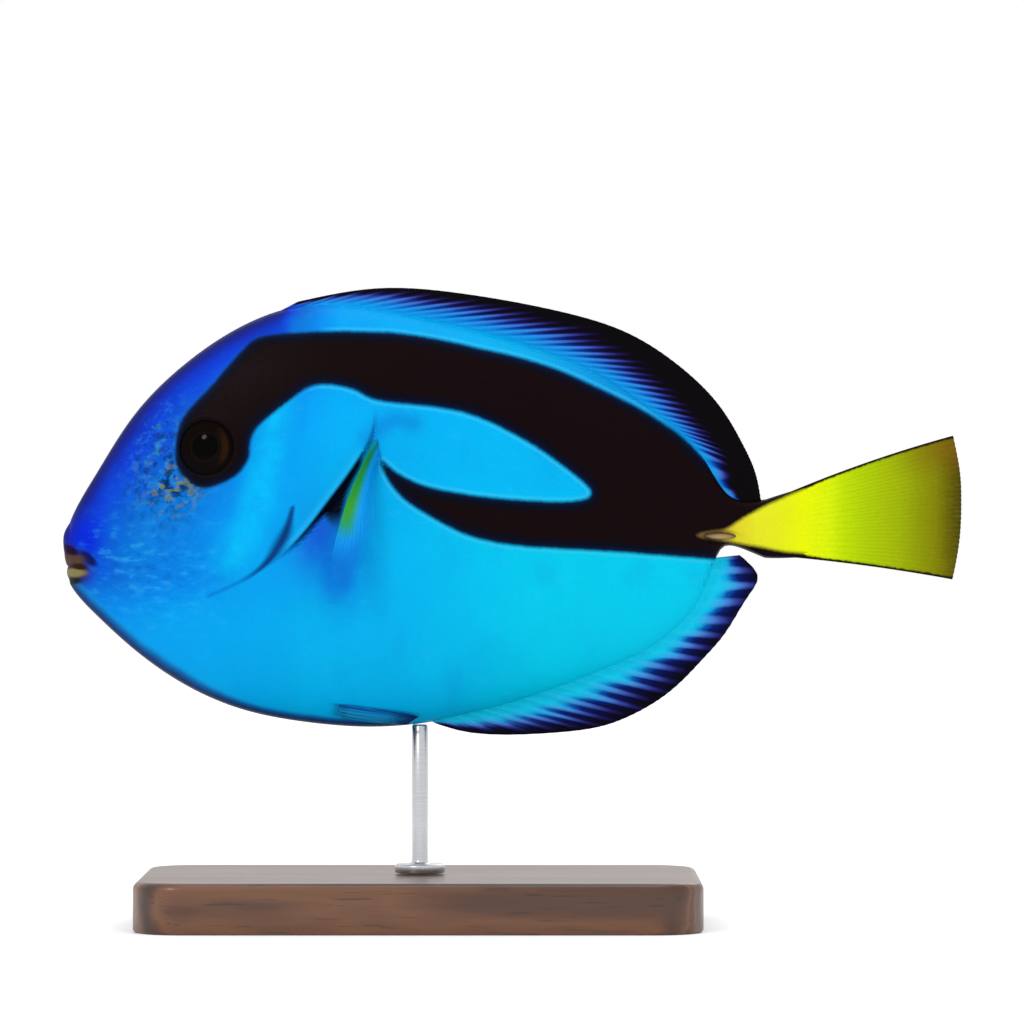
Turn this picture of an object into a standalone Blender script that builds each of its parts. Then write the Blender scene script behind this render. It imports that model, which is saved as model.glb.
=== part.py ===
# A regal blue tang as a still, life-size display model on a plain stand.
# The fish faces -X, its left side faces -Y and +Z is up. Lengths below are in millimetres on
# the fish's own scales: "back" runs from the tip of the snout towards the tail, "side" is
# negative on the fish's left, and "height" starts at the lowest point of the anal fin.

import bpy
import bmesh
import numpy as np
from mathutils import Matrix, Vector

MM = 0.001
GAP = 0.3
FORWARD = (1.0, 0.0, 0.0)

# Whole fish
TOTAL_LENGTH = 179.6

# Display stand
BASE_LENGTH = 112.0
BASE_WIDTH = 66.0
BASE_HEIGHT = 10.0
BASE_CORNER = 10.0
BASE_CHAMFER = 1.6
CORNER_STEPS = 6
ROD_BACK = 71.4
ROD_RADIUS = 1.6
FLANGE_RADIUS = 5.0
FLANGE_HEIGHT = 1.8
FLANGE_ROUND = 0.5
ROD_FILLET = 0.8
ROD_SIDES = 20
FISH_FLOOR = 38.0

# Body stations: back, crown height, belly height, height of the widest line, half width
BODY_STATIONS = (
    (1.4, 42.3, 30.1, 35.6, 3.9),
    (7.4, 53.0, 23.4, 37.8, 5.7),
    (14.0, 63.2, 17.4, 40.8, 7.7),
    (24.0, 73.4, 10.4, 43.8, 10.1),
    (36.0, 81.4, 5.2, 45.8, 12.1),
    (49.4, 85.6, 2.6, 47.0, 13.3),
    (64.0, 84.8, 1.8, 47.2, 13.5),
    (80.0, 81.4, 3.9, 46.8, 12.3),
    (96.0, 76.8, 8.4, 45.4, 10.1),
    (110.0, 70.4, 13.8, 44.0, 7.7),
    (120.0, 62.9, 19.2, 43.0, 5.8),
    (125.4, 58.2, 24.4, 42.6, 4.7),
    (128.8, 54.0, 30.4, 42.4, 4.0),
    (131.0, 50.3, 36.4, 42.2, 3.6),
    (133.4, 47.5, 38.0, 42.0, 3.3),
    (136.8, 46.4, 37.0, 41.8, 3.0),
    (140.4, 46.6, 35.5, 41.5, 2.8),
)
RIDGE_HALF = 0.9
BULGE = 2.0
FULLNESS = 0.56
SKIN_STEP = 0.2

# Snout: front edge of the face as share of its height and back, and how fast it rounds
SNOUT_EDGE = ((0.0, 1.4), (0.3, 0.75), (0.66, 0.05), (0.86, 0.4), (1.0, 1.4))
SNOUT_ROUND = 3.6

# Where head meets torso, along the gill opening: share of body height, back
GILL_LINE = (
    (0.0, 29.0),
    (0.14, 29.2),
    (0.27, 31.6),
    (0.32, 35.6),
    (0.39, 43.2),
    (0.443, 47.8),
    (0.52, 52.8),
    (0.6, 57.6),
    (0.66, 60.6),
    (0.75, 62.5),
    (0.85, 58.6),
    (1.0, 40.8),
)
SLOPE_STEP = 0.004
STALK_BACK = 126.6
STALK_END = 140.4

# Grid counts of the body
HEAD_COLUMNS = 22
TORSO_COLUMNS = 24
STALK_COLUMNS = 9
BODY_ROWS = 24
STALK_ROWS = 14
HEAD_SPREAD = 1.7
TORSO_SPREAD = 0.95

# Mouth
MOUTH_HEIGHT = 33.5
MOUTH_SHARE = 0.3
MOUTH_LENGTH = 5.2
MOUTH_FADE = 2.4
MOUTH_GATHER = 0.6
MOUTH_GATHER_HALF = 0.14
LIP_RISE = 0.25
LIP_AWAY = 1.5
LIP_WIDTH = 0.8
MOUTH_HALF = 0.35
MOUTH_DEPTH = 0.35

# Gill cover
COVER_RISE = 0.45
COVER_WIDTH = 3.0
COVER_LOW = (0.26, 0.4)
COVER_HIGH = (0.74, 0.84)

# Eyes
EYE_BACK = 29.2
EYE_HEIGHT = 57.2
EYE_RADIUS = 6.9
EYE_DEPTH = 4.0
EYE_SINK = 2.6
EYE_SEGMENTS = 20
EYE_RINGS = 12

# Nostrils, two a side: back, height, radius
NOSTRILS = ((20.9, 57.0, 0.6), (22.6, 58.2, 0.45))
NOSTRIL_DEPTH = 0.7
NOSTRIL_SEGMENTS = 8
NOSTRIL_RINGS = 6

# Fins
MEMBRANE = 0.6
MARGIN_THICKNESS = 0.5
RAY_RISE = 0.45
RAY_WIDTH = 0.24
SCALLOP = 0.2
FIN_REACHES = (0.0, 0.1, 0.35, 0.65, 0.88, 1.0)
FIN_ROOT_HALF = 0.6
FIN_FLESH_SHARE = 0.16
RAY_FADE = 0.6
TAPER_START = 0.8

# Fins on the middle plane: share along the fin, root back, tip back, tip height
DORSAL_COUNT = 28
DORSAL_RAYS = (
    (0.0, 42.4, 47.0, 86.5),
    (0.093, 52.4, 63.6, 89.2),
    (0.183, 62.4, 80.0, 88.1),
    (0.292, 74.4, 97.4, 85.0),
    (0.392, 86.8, 111.0, 81.1),
    (0.503, 99.6, 121.8, 74.8),
    (0.629, 110.6, 130.0, 67.3),
    (0.803, 121.4, 136.1, 57.8),
    (0.933, 128.4, 138.9, 50.9),
    (1.0, 134.0, 139.6, 47.2),
)
ANAL_COUNT = 22
ANAL_RAYS = (
    (0.0, 73.4, 74.8, 2.0),
    (0.05, 76.0, 80.6, 0.4),
    (0.16, 82.0, 96.4, 0.1),
    (0.345, 92.8, 111.4, 2.7),
    (0.455, 101.0, 117.6, 5.8),
    (0.58, 109.6, 123.7, 10.5),
    (0.685, 117.2, 128.7, 15.7),
    (0.79, 123.2, 133.2, 21.2),
    (0.87, 127.2, 137.0, 27.4),
    (0.94, 129.4, 138.9, 31.9),
    (1.0, 130.5, 135.4, 35.8),
)

# Tail fin margin from the upper corner down: share, back, height; bow of top and bottom edge
TAIL_RAYS = 16
TAIL_MARGIN = (
    (0.0, 178.1, 59.7),
    (0.2, 179.3, 53.6),
    (0.45, 179.7, 46.8),
    (0.7, 179.5, 39.8),
    (1.0, 177.9, 30.9),
)
TAIL_BOW = (0.8, 0.5)
TAIL_ROOT_INSET = 0.2
TAIL_ROOT_FULLNESS = 0.92
TAIL_FLESH_SHARE = 0.3

# Pectoral fins: back and height of the root's two ends; margin share, back, height, side
PECTORAL_RAYS = 14
PECTORAL_ROOT = ((62.1, 57.4), (63.3, 53.9))
PECTORAL_MARGIN = (
    (0.0, 53.6, 26.6, -23.6),
    (0.25, 57.0, 26.2, -23.0),
    (0.6, 62.6, 28.0, -21.4),
    (1.0, 66.6, 31.2, -19.4),
)
PECTORAL_FLARE = 1.7
PECTORAL_BOW = 1.9
PECTORAL_ROOT_HALF = 0.55
PECTORAL_FLESH_SHARE = 0.2

# Pelvic fins: back, upper height and lower height at the root and at the tip
PELVIC_RAYS = 4
PELVIC_ENDS = ((51.6, 6.8, 4.9), (71.2, 4.4, 2.9))
PELVIC_FLARE = 0.7
PELVIC_SLANT = 2.4
PELVIC_SWELL = 0.7
PELVIC_CLEAR = 0.15
PELVIC_ROOT_HALF = 0.4
PELVIC_FLESH_SHARE = 0.2

# Folded blade on each side of the tail stalk
SPINE_BACK = 131.4
SPINE_HEIGHT = 39.6
SPINE_RADII = (3.4, 0.7, 0.8)
SPINE_RISE = -0.1
SPINE_SEGMENTS = 12
SPINE_RINGS = 8


def spline(at, stations, column=1):
    """Natural cubic curve through the stations, read at the given places."""
    table = np.asarray(stations, float)
    knots = table[:, 0]
    values = table[:, column]
    step = np.diff(knots)
    rise = np.diff(values) / step
    size = len(knots)
    matrix = np.zeros((size, size))
    target = np.zeros(size)
    matrix[0, :2] = 2.0, 1.0
    matrix[-1, -2:] = 1.0, 2.0
    target[0] = 3.0 * rise[0]
    target[-1] = 3.0 * rise[-1]
    for row in range(1, size - 1):
        matrix[row, row - 1] = step[row]
        matrix[row, row] = 2.0 * (step[row - 1] + step[row])
        matrix[row, row + 1] = step[row - 1]
        target[row] = 3.0 * (step[row] * rise[row - 1] + step[row - 1] * rise[row])
    slope = np.linalg.solve(matrix, target)
    at = np.clip(np.asarray(at, float), knots[0], knots[-1])
    cell = np.clip(np.searchsorted(knots, at) - 1, 0, size - 2)
    part = (at - knots[cell]) / step[cell]
    rest = 1.0 - part
    ends = (1.0 + 2.0 * part) * rest**2 * values[cell] + part**2 * (3.0 - 2.0 * part) * values[cell + 1]
    turns = part * rest**2 * slope[cell] - part**2 * rest * slope[cell + 1]
    return ends + turns * step[cell]


ROOTED_STATIONS = tuple((station[0] ** 0.5,) + station[1:] for station in BODY_STATIONS)


def body_line(back, column):
    """Crown, belly, widest line or half width at a place along the body."""
    return spline(np.sqrt(np.clip(back, BODY_STATIONS[0][0], None)), ROOTED_STATIONS, column)


def crown(back):
    return body_line(back, 1)


def belly(back):
    return body_line(back, 2)


def smoothstep(value, low, high):
    part = np.clip((value - low) / (high - low), 0.0, 1.0)
    return part * part * (3.0 - 2.0 * part)


def bell(value, middle, half):
    return np.exp(-(((value - middle) / half) ** 2))


def cover_window(share):
    """One over the free edge of the gill cover, falling to nothing above and below it."""
    return smoothstep(share, *COVER_LOW) * (1.0 - smoothstep(share, *COVER_HIGH))


def height_of(back, share):
    low = belly(back)
    return low + (crown(back) - low) * share


def half_width(back, height):
    """Half thickness of the body at a point of the side view."""
    middle = body_line(back, 3)
    reach = np.where(height > middle, crown(back) - middle, middle - belly(back))
    away = np.clip(np.abs(height - middle) / reach, 0.0, 1.0)
    full = body_line(back, 4) - RIDGE_HALF
    share = (height - belly(back)) / (crown(back) - belly(back))
    past = np.clip((back - spline(share, SNOUT_EDGE)) / SNOUT_ROUND, 0.0, 1.0)
    nose = np.sqrt(np.clip(1.0 - (1.0 - past) ** 2, 0.0, None))
    return (RIDGE_HALF + full * (1.0 - away**BULGE) ** FULLNESS) * nose


def gill_back(share, offset):
    """Back of the gill line, moved by the offset square to the line."""
    lower = np.clip(share - SLOPE_STEP, 0.0, 1.0)
    upper = np.clip(share + SLOPE_STEP, 0.0, 1.0)
    before = spline(lower, GILL_LINE)
    after = spline(upper, GILL_LINE)
    lean = (after - before) / (height_of(after, upper) - height_of(before, lower))
    return spline(share, GILL_LINE) + offset * np.sqrt(1.0 + lean**2)


def grid_normals(points):
    along = np.gradient(points, axis=0)
    up = np.gradient(points, axis=1)
    normal = np.cross(along, up)
    length = np.linalg.norm(normal, axis=2, keepdims=True)
    return normal / np.maximum(length, 1e-9)


def body_side(backs, shares):
    """Left side of the body over a grid of backs and height shares."""
    heights = height_of(backs, shares)
    sides = -half_width(backs, heights)
    return np.stack([backs, sides, heights], axis=2)


def skin_at(back, height):
    """Point on the left side of the body and the direction outward from it."""
    step = SKIN_STEP
    side = float(half_width(np.array(back), np.array(height)))
    along = (float(half_width(np.array(back + step), np.array(height))) - side) / step
    up = (float(half_width(np.array(back), np.array(height + step))) - side) / step
    return np.array([back, -side, height]), np.array(Vector((-along, -1.0, -up)).normalized())


def share_rows(count, gather):
    """Height shares from belly to crown, pulled towards the mouth line."""
    turn = np.linspace(-0.5 * np.pi, 0.5 * np.pi, count)
    shares = 0.5 + 0.5 * np.sin(turn)
    pull = gather * (shares - MOUTH_SHARE) * bell(shares, MOUTH_SHARE, MOUTH_GATHER_HALF)
    shares = shares - pull
    shares[0] = 0.0
    shares[-1] = 1.0
    return shares


def place(points):
    """Fish millimetres into world metres."""
    points = np.asarray(points, float).reshape(-1, 3)
    moved = points + np.array([-0.5 * TOTAL_LENGTH, 0.0, FISH_FLOOR])
    return moved * MM


def add_solid(name, points, faces, colour, roughness, metallic=0.0):
    """One mesh object with its own material, faces outward."""
    mesh = bpy.data.meshes.new(name)
    mesh.from_pydata([tuple(point) for point in points], [], faces)
    mesh.validate()
    work = bmesh.new()
    work.from_mesh(mesh)
    bmesh.ops.recalc_face_normals(work, faces=work.faces)
    work.to_mesh(mesh)
    work.free()
    mesh.shade_smooth()
    solid = bpy.data.objects.new(name, mesh)
    bpy.context.scene.collection.objects.link(solid)
    paint(solid, colour, roughness, metallic)
    return solid


def paint(solid, colour, roughness, metallic):
    material = bpy.data.materials.new(solid.name)
    material.use_nodes = True
    shader = material.node_tree.nodes["Principled BSDF"]
    shader.inputs["Base Color"].default_value = (*colour, 1.0)
    shader.inputs["Roughness"].default_value = roughness
    shader.inputs["Metallic"].default_value = metallic
    solid.data.materials.append(material)


def cell_faces(rows, columns, index, flip=False):
    """Triangles over a grid of point numbers, all cells split the same way."""
    faces = []
    for i in range(rows - 1):
        for j in range(columns - 1):
            a = index(i, j)
            b = index(i + 1, j)
            c = index(i + 1, j + 1)
            d = index(i, j + 1)
            pair = [(a, b, c), (a, c, d)]
            for face in pair:
                if len(set(face)) == 3:
                    faces.append(face[::-1] if flip else face)
    return faces


def mirrored_solid(name, left, welded_front, colour, roughness):
    """Closes a left-hand grid with its mirror image, edge strips and end walls."""
    columns, rows, _ = left.shape
    right = left * np.array([1.0, -1.0, 1.0])
    points = np.concatenate([left.reshape(-1, 3), right.reshape(-1, 3)])
    total = columns * rows

    def on_left(i, j):
        return i * rows + j

    def on_right(i, j):
        if welded_front and i == 0:
            return on_left(i, j)
        return total + i * rows + j

    faces = cell_faces(columns, rows, on_left)
    faces += cell_faces(columns, rows, on_right, flip=True)
    for j in (0, rows - 1):
        for i in range(columns - 1):
            quad = (on_left(i, j), on_left(i + 1, j), on_right(i + 1, j), on_right(i, j))
            faces += split(quad, flip=j == 0)
    for i in (0, columns - 1):
        if welded_front and i == 0:
            continue
        for j in range(rows - 1):
            quad = (on_left(i, j), on_left(i, j + 1), on_right(i, j + 1), on_right(i, j))
            faces += split(quad, flip=i != 0)
    used = sorted({number for face in faces for number in face})
    renumber = {number: place_in for place_in, number in enumerate(used)}
    faces = [tuple(renumber[number] for number in face) for face in faces]
    return add_solid(name, place(points[used]), faces, colour, roughness)


def split(quad, flip):
    a, b, c, d = quad
    kept = []
    for face in ((a, b, c), (a, c, d)):
        if len(set(face)) == 3:
            kept.append(face[::-1] if flip else face)
    return kept


def carve(solid, cutter):
    """Takes the cutter out of the solid and removes the cutter."""
    cutter.hide_render = True
    cutter.display_type = "WIRE"
    modifier = solid.modifiers.new(cutter.name, "BOOLEAN")
    modifier.operation = "DIFFERENCE"
    modifier.solver = "EXACT"
    modifier.object = cutter


def ellipsoid(name, centre, normal, along, radii, segments, rings):
    """A rounded lens at a point of the fish: radii along it, across it and through it."""
    outward = Vector(normal).normalized()
    across = outward.cross(Vector(along)).normalized()
    forward = across.cross(outward)
    turn = Matrix((forward, across, outward)).transposed().to_4x4()
    size = Matrix.Diagonal((radii[0] * MM, radii[1] * MM, radii[2] * MM, 1.0))
    spot = Matrix.Translation(Vector(place(centre)[0]))
    work = bmesh.new()
    bmesh.ops.create_uvsphere(work, u_segments=segments, v_segments=rings, radius=1.0)
    bmesh.ops.transform(work, matrix=spot @ turn @ size, verts=work.verts)
    mesh = bpy.data.meshes.new(name)
    work.to_mesh(mesh)
    work.free()
    mesh.shade_smooth()
    solid = bpy.data.objects.new(name, mesh)
    bpy.context.scene.collection.objects.link(solid)
    return solid


def on_side(vector, side):
    """Mirrors a left-hand vector for the right side."""
    return np.asarray(vector, float) * np.array([1.0, 1.0 if side < 0 else -1.0, 1.0])


def ray_columns(count):
    """Columns over a fin, three a ray: foot, top and foot, as shares, and which are tops."""
    places = []
    tops = []
    for ray in range(count):
        if ray > 0:
            places.append(ray - RAY_WIDTH)
            tops.append(0.0)
        places.append(ray)
        tops.append(1.0)
        if ray < count - 1:
            places.append(ray + RAY_WIDTH)
            tops.append(0.0)
    return np.array(places) / (count - 1.0), np.array(tops)


def fin_half(tops, reach, root_half, root_share):
    """Half thickness of a fin over its columns and reaches, thicker at the root."""
    sheet = 0.5 * (MEMBRANE + (MARGIN_THICKNESS - MEMBRANE) * reach)
    ridge = 0.5 * RAY_RISE * tops[:, None] * (1.0 - RAY_FADE * reach[None, :])
    flesh = np.clip(1.0 - reach / root_share, 0.0, 1.0) ** 2
    root = np.maximum(np.asarray(root_half)[:, None] - sheet[None, :], 0.0) * flesh[None, :]
    return sheet[None, :] + ridge + root


def fin_solid(name, middle, half, colour, roughness, normals=None):
    """Closes a fin from its middle sheet: two faces and a rim, triangles alike on both."""
    columns, rows, _ = middle.shape
    if normals is None:
        normals = grid_normals(middle)
    near = middle + normals * half[:, :, None]
    far = middle - normals * half[:, :, None]
    points = np.concatenate([near.reshape(-1, 3), far.reshape(-1, 3)])
    total = columns * rows
    faces = cell_faces(columns, rows, lambda i, j: i * rows + j)
    faces += cell_faces(columns, rows, lambda i, j: total + i * rows + j, flip=True)
    rim = [(i, 0) for i in range(columns)]
    rim += [(columns - 1, j) for j in range(1, rows)]
    rim += [(i, rows - 1) for i in range(columns - 2, -1, -1)]
    rim += [(0, j) for j in range(rows - 2, 0, -1)]
    numbers = [i * rows + j for i, j in rim]
    for here, there in zip(numbers, numbers[1:] + numbers[:1]):
        faces += split((here, there, total + there, total + here), True)
    return add_solid(name, place(points), faces, colour, roughness)


# Head: from the snout back to the gill line, with lips, mouth line and gill cover in its surface
def build_head():
    shares = share_rows(BODY_ROWS, MOUTH_GATHER)
    spread = np.linspace(0.0, 1.0, HEAD_COLUMNS) ** HEAD_SPREAD
    front = spline(shares, SNOUT_EDGE)
    rear = gill_back(shares, -0.5 * GAP)
    backs = front[None, :] + (rear - front)[None, :] * spread[:, None]
    left = body_side(backs, np.broadcast_to(shares, backs.shape))
    normals = grid_normals(left)
    normals[0, :, 1] = 0.0
    normals[0] /= np.linalg.norm(normals[0], axis=1, keepdims=True)
    above = left[:, :, 2] - MOUTH_HEIGHT
    near = 1.0 - smoothstep(backs, MOUTH_FADE, MOUTH_LENGTH)
    lips = LIP_RISE * (bell(above, LIP_AWAY, LIP_WIDTH) + bell(above, -LIP_AWAY, LIP_WIDTH)) * near
    groove = MOUTH_DEPTH * bell(above, 0.0, MOUTH_HALF) * near
    cover = COVER_RISE * smoothstep(backs - rear[None, :], -COVER_WIDTH, 0.0) * cover_window(shares)[None, :]
    rise = lips - groove + cover
    rise[:, 0] = 0.0
    rise[:, -1] = 0.0
    left = left + normals * rise[:, :, None]
    left[0, :, 1] = 0.0
    return mirrored_solid("head", left, True, (0.02, 0.16, 0.72), 0.42)


# Torso: from the gill line to the tail stalk, a little lower just behind the gill cover
def build_torso():
    shares = share_rows(BODY_ROWS, 0.0)
    spread = np.linspace(0.0, 1.0, TORSO_COLUMNS) ** TORSO_SPREAD
    front = gill_back(shares, 0.5 * GAP)
    rear = STALK_BACK - 0.5 * GAP
    backs = front[None, :] + (rear - front)[None, :] * spread[:, None]
    left = body_side(backs, np.broadcast_to(shares, backs.shape))
    dip = 1.0 - smoothstep(backs - front[None, :], 0.0, COVER_WIDTH)
    dip = COVER_RISE * dip * cover_window(shares)[None, :]
    left = left - grid_normals(left) * dip[:, :, None]
    return mirrored_solid("torso", left, False, (0.01, 0.36, 0.82), 0.42)


# Tail stalk: the narrow part between the torso and the tail fin
def build_stalk():
    shares = share_rows(STALK_ROWS, 0.0)
    spread = np.linspace(0.0, 1.0, STALK_COLUMNS)
    span = STALK_END - STALK_BACK - GAP
    backs = STALK_BACK + 0.5 * GAP + span * spread
    grid = np.broadcast_to(backs[:, None], (STALK_COLUMNS, STALK_ROWS))
    left = body_side(grid, np.broadcast_to(shares, grid.shape))
    return mirrored_solid("tail_stalk", left, False, (0.01, 0.01, 0.02), 0.45)


def reach_rows(tops):
    """Reaches from root to margin, the membrane a little short of the ray tips."""
    reach = np.array(FIN_REACHES)
    short = SCALLOP * (1.0 - tops)[:, None] * smoothstep(reach, TAPER_START, 1.0)[None, :]
    return reach, short


def upright_fin(name, table, edge, lift, count, colour, roughness):
    """Fin in the middle plane between a body edge and a margin of ray tips."""
    places, tops = ray_columns(count)
    reach, short = reach_rows(tops)
    root_back = spline(places, table, 1)
    root = np.stack([root_back, np.zeros_like(root_back), edge(root_back) + lift], axis=1)
    tip_back = spline(places, table, 2)
    tip = np.stack([tip_back, np.zeros_like(tip_back), spline(places, table, 3)], axis=1)
    length = np.linalg.norm(tip - root, axis=1)
    share = reach[None, :] - short / length[:, None]
    middle = root[:, None, :] + (tip - root)[:, None, :] * share[:, :, None]
    half = fin_half(tops, reach, np.full(len(places), FIN_ROOT_HALF), FIN_FLESH_SHARE)
    return fin_solid(name, middle, half, colour, roughness, np.broadcast_to([0.0, -1.0, 0.0], middle.shape))


def build_tail_fin():
    places, tops = ray_columns(TAIL_RAYS)
    reach, short = reach_rows(tops)
    root_back = STALK_END + 0.5 * GAP
    high = crown(STALK_END) - TAIL_ROOT_INSET
    low = belly(STALK_END) + TAIL_ROOT_INSET
    root_height = high + (low - high) * places
    root = np.stack([np.full_like(places, root_back), np.zeros_like(places), root_height], axis=1)
    tip_back = spline(places, TAIL_MARGIN, 1)
    tip = np.stack([tip_back, np.zeros_like(places), spline(places, TAIL_MARGIN, 2)], axis=1)
    length = np.linalg.norm(tip - root, axis=1)
    share = reach[None, :] - short / length[:, None]
    middle = root[:, None, :] + (tip - root)[:, None, :] * share[:, :, None]
    bow = TAIL_BOW[0] + (TAIL_BOW[1] - TAIL_BOW[0]) * places
    middle[:, :, 2] += bow[:, None] * 4.0 * share * (1.0 - share)
    root_half = TAIL_ROOT_FULLNESS * half_width(np.full_like(places, STALK_END), root_height)
    half = fin_half(tops, reach, root_half, TAIL_FLESH_SHARE)
    flat = np.broadcast_to([0.0, -1.0, 0.0], middle.shape)
    return fin_solid("tail_fin", middle, half, (0.7, 0.75, 0.0), 0.45, flat)


def build_pectoral(side, name):
    places, tops = ray_columns(PECTORAL_RAYS)
    reach, short = reach_rows(tops)
    root = []
    for share in places:
        back = PECTORAL_ROOT[0][0] + (PECTORAL_ROOT[1][0] - PECTORAL_ROOT[0][0]) * share
        height = PECTORAL_ROOT[0][1] + (PECTORAL_ROOT[1][1] - PECTORAL_ROOT[0][1]) * share
        point, normal = skin_at(back, height)
        root.append(point + normal * (GAP + 0.5 * MEMBRANE))
    root = np.array(root)
    tip = np.stack([spline(places, PECTORAL_MARGIN, column) for column in (1, 3, 2)], axis=1)
    length = np.linalg.norm(tip - root, axis=1)
    share = reach[None, :] - short / length[:, None]
    middle = root[:, None, :] + (tip - root)[:, None, :] * share[:, :, None]
    out = 1.0 - (1.0 - share) ** PECTORAL_FLARE
    middle[:, :, 1] = root[:, None, 1] + (tip - root)[:, None, 1] * out
    middle[:, :, 0] -= PECTORAL_BOW * 4.0 * share * (1.0 - share)
    half = fin_half(tops, reach, np.full(len(places), PECTORAL_ROOT_HALF), PECTORAL_FLESH_SHARE)
    return fin_solid(name, on_side(middle, side), half, (0.02, 0.3, 0.7), 0.4)


def build_pelvic(side, name):
    places, tops = ray_columns(PELVIC_RAYS)
    reach, short = reach_rows(tops)
    middle = np.zeros((len(places), len(reach), 3))
    normals = np.zeros_like(middle)
    (root_back, root_high, root_low), (tip_back, tip_high, tip_low) = PELVIC_ENDS
    for i, across in enumerate(places):
        for j, share in enumerate(reach):
            back = root_back + (tip_back - PELVIC_SLANT * across - root_back) * share
            high = root_high + (tip_high - root_high) * share
            low = root_low + (tip_low - root_low) * share - PELVIC_SWELL * np.sin(np.pi * share)
            point, normal = skin_at(back, high + (low - high) * across)
            away = GAP + 0.5 * MEMBRANE + PELVIC_CLEAR + PELVIC_FLARE * share**2
            middle[i, j] = point + normal * away
            normals[i, j] = normal
    half = fin_half(tops, reach, np.full(len(places), PELVIC_ROOT_HALF), PELVIC_FLESH_SHARE)
    return fin_solid(name, on_side(middle, side), half, (0.02, 0.1, 0.5), 0.45, on_side(normals, side))


def build_eye(side, name, head):
    point, normal = skin_at(EYE_BACK, EYE_HEIGHT)
    centre = on_side(point - normal * EYE_SINK, side)
    outward = on_side(normal, side)
    radii = (EYE_RADIUS, EYE_RADIUS, EYE_DEPTH)
    eye = ellipsoid(name, centre, outward, FORWARD, radii, EYE_SEGMENTS, EYE_RINGS)
    paint(eye, (0.01, 0.005, 0.005), 0.08, 0.0)
    wider = tuple(radius + GAP for radius in radii)
    socket = ellipsoid(name + "_socket", centre, outward, FORWARD, wider, EYE_SEGMENTS, EYE_RINGS)
    carve(head, socket)


def build_nostrils(side, word, head):
    for number, (back, height, radius) in enumerate(NOSTRILS):
        point, normal = skin_at(back, height)
        radii = (radius, radius, NOSTRIL_DEPTH)
        name = "nostril_%s_%d" % (word, number)
        centre = on_side(point, side)
        outward = on_side(normal, side)
        hole = ellipsoid(name, centre, outward, FORWARD, radii, NOSTRIL_SEGMENTS, NOSTRIL_RINGS)
        carve(head, hole)


def build_spine(side, name, stalk):
    point, normal = skin_at(SPINE_BACK, SPINE_HEIGHT)
    before, _ = skin_at(SPINE_BACK - 1.0, SPINE_HEIGHT)
    centre = on_side(point + normal * SPINE_RISE, side)
    along = on_side(point - before, side)
    outward = on_side(normal, side)
    spine = ellipsoid(name, centre, outward, along, SPINE_RADII, SPINE_SEGMENTS, SPINE_RINGS)
    paint(spine, (0.6, 0.5, 0.3), 0.35, 0.0)
    wider = tuple(radius + GAP for radius in SPINE_RADII)
    groove = ellipsoid(name + "_groove", centre, outward, along, wider, SPINE_SEGMENTS, SPINE_RINGS)
    carve(stalk, groove)


def world_solid(name, points, faces, colour, roughness, metallic):
    return add_solid(name, np.asarray(points) * MM, faces, colour, roughness, metallic)


def ring_faces(rings, sides):
    """Bands of quads between stacked rings and a flat cap at each end."""
    faces = []
    for level in range(rings - 1):
        for here in range(sides):
            there = (here + 1) % sides
            low = level * sides
            high = low + sides
            faces.append((low + here, low + there, high + there, high + here))
    faces.append(tuple(range(sides))[::-1])
    faces.append(tuple(range((rings - 1) * sides, rings * sides)))
    return faces


def build_base():
    """Rounded block with a chamfered top edge, centred under the rod."""
    middle = ROD_BACK - 0.5 * TOTAL_LENGTH
    turns = np.linspace(0.0, 0.5 * np.pi, CORNER_STEPS + 1)
    levels = ((0.0, 0.0), (BASE_HEIGHT - BASE_CHAMFER, 0.0), (BASE_HEIGHT, BASE_CHAMFER))
    points = []
    for height, inset in levels:
        radius = BASE_CORNER - inset
        for corner in range(4):
            start = corner * 0.5 * np.pi
            across = (1.0, -1.0, -1.0, 1.0)[corner] * (0.5 * BASE_LENGTH - BASE_CORNER)
            deep = (1.0, 1.0, -1.0, -1.0)[corner] * (0.5 * BASE_WIDTH - BASE_CORNER)
            for turn in turns + start:
                points.append((middle + across + radius * np.cos(turn), deep + radius * np.sin(turn), height))
    sides = 4 * len(turns)
    world_solid("stand_base", points, ring_faces(len(levels), sides), (0.08, 0.035, 0.015), 0.4, 0.0)


def build_rod():
    """Steel rod with a foot flange, up to just under the belly."""
    middle = ROD_BACK - 0.5 * TOTAL_LENGTH
    under = belly(np.linspace(ROD_BACK - ROD_RADIUS, ROD_BACK + ROD_RADIUS, 9)).min()
    top = FISH_FLOOR + under - GAP
    low = BASE_HEIGHT + GAP
    levels = (
        (low, FLANGE_RADIUS),
        (low + FLANGE_HEIGHT - FLANGE_ROUND, FLANGE_RADIUS),
        (low + FLANGE_HEIGHT, FLANGE_RADIUS - FLANGE_ROUND),
        (low + FLANGE_HEIGHT, ROD_RADIUS + ROD_FILLET),
        (low + FLANGE_HEIGHT + ROD_FILLET, ROD_RADIUS),
        (top, ROD_RADIUS),
    )
    points = []
    for height, radius in levels:
        for turn in np.arange(ROD_SIDES) * 2.0 * np.pi / ROD_SIDES:
            points.append((middle + radius * np.cos(turn), radius * np.sin(turn), height))
    world_solid("stand_rod", points, ring_faces(len(levels), ROD_SIDES), (0.6, 0.6, 0.62), 0.3, 1.0)


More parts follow.
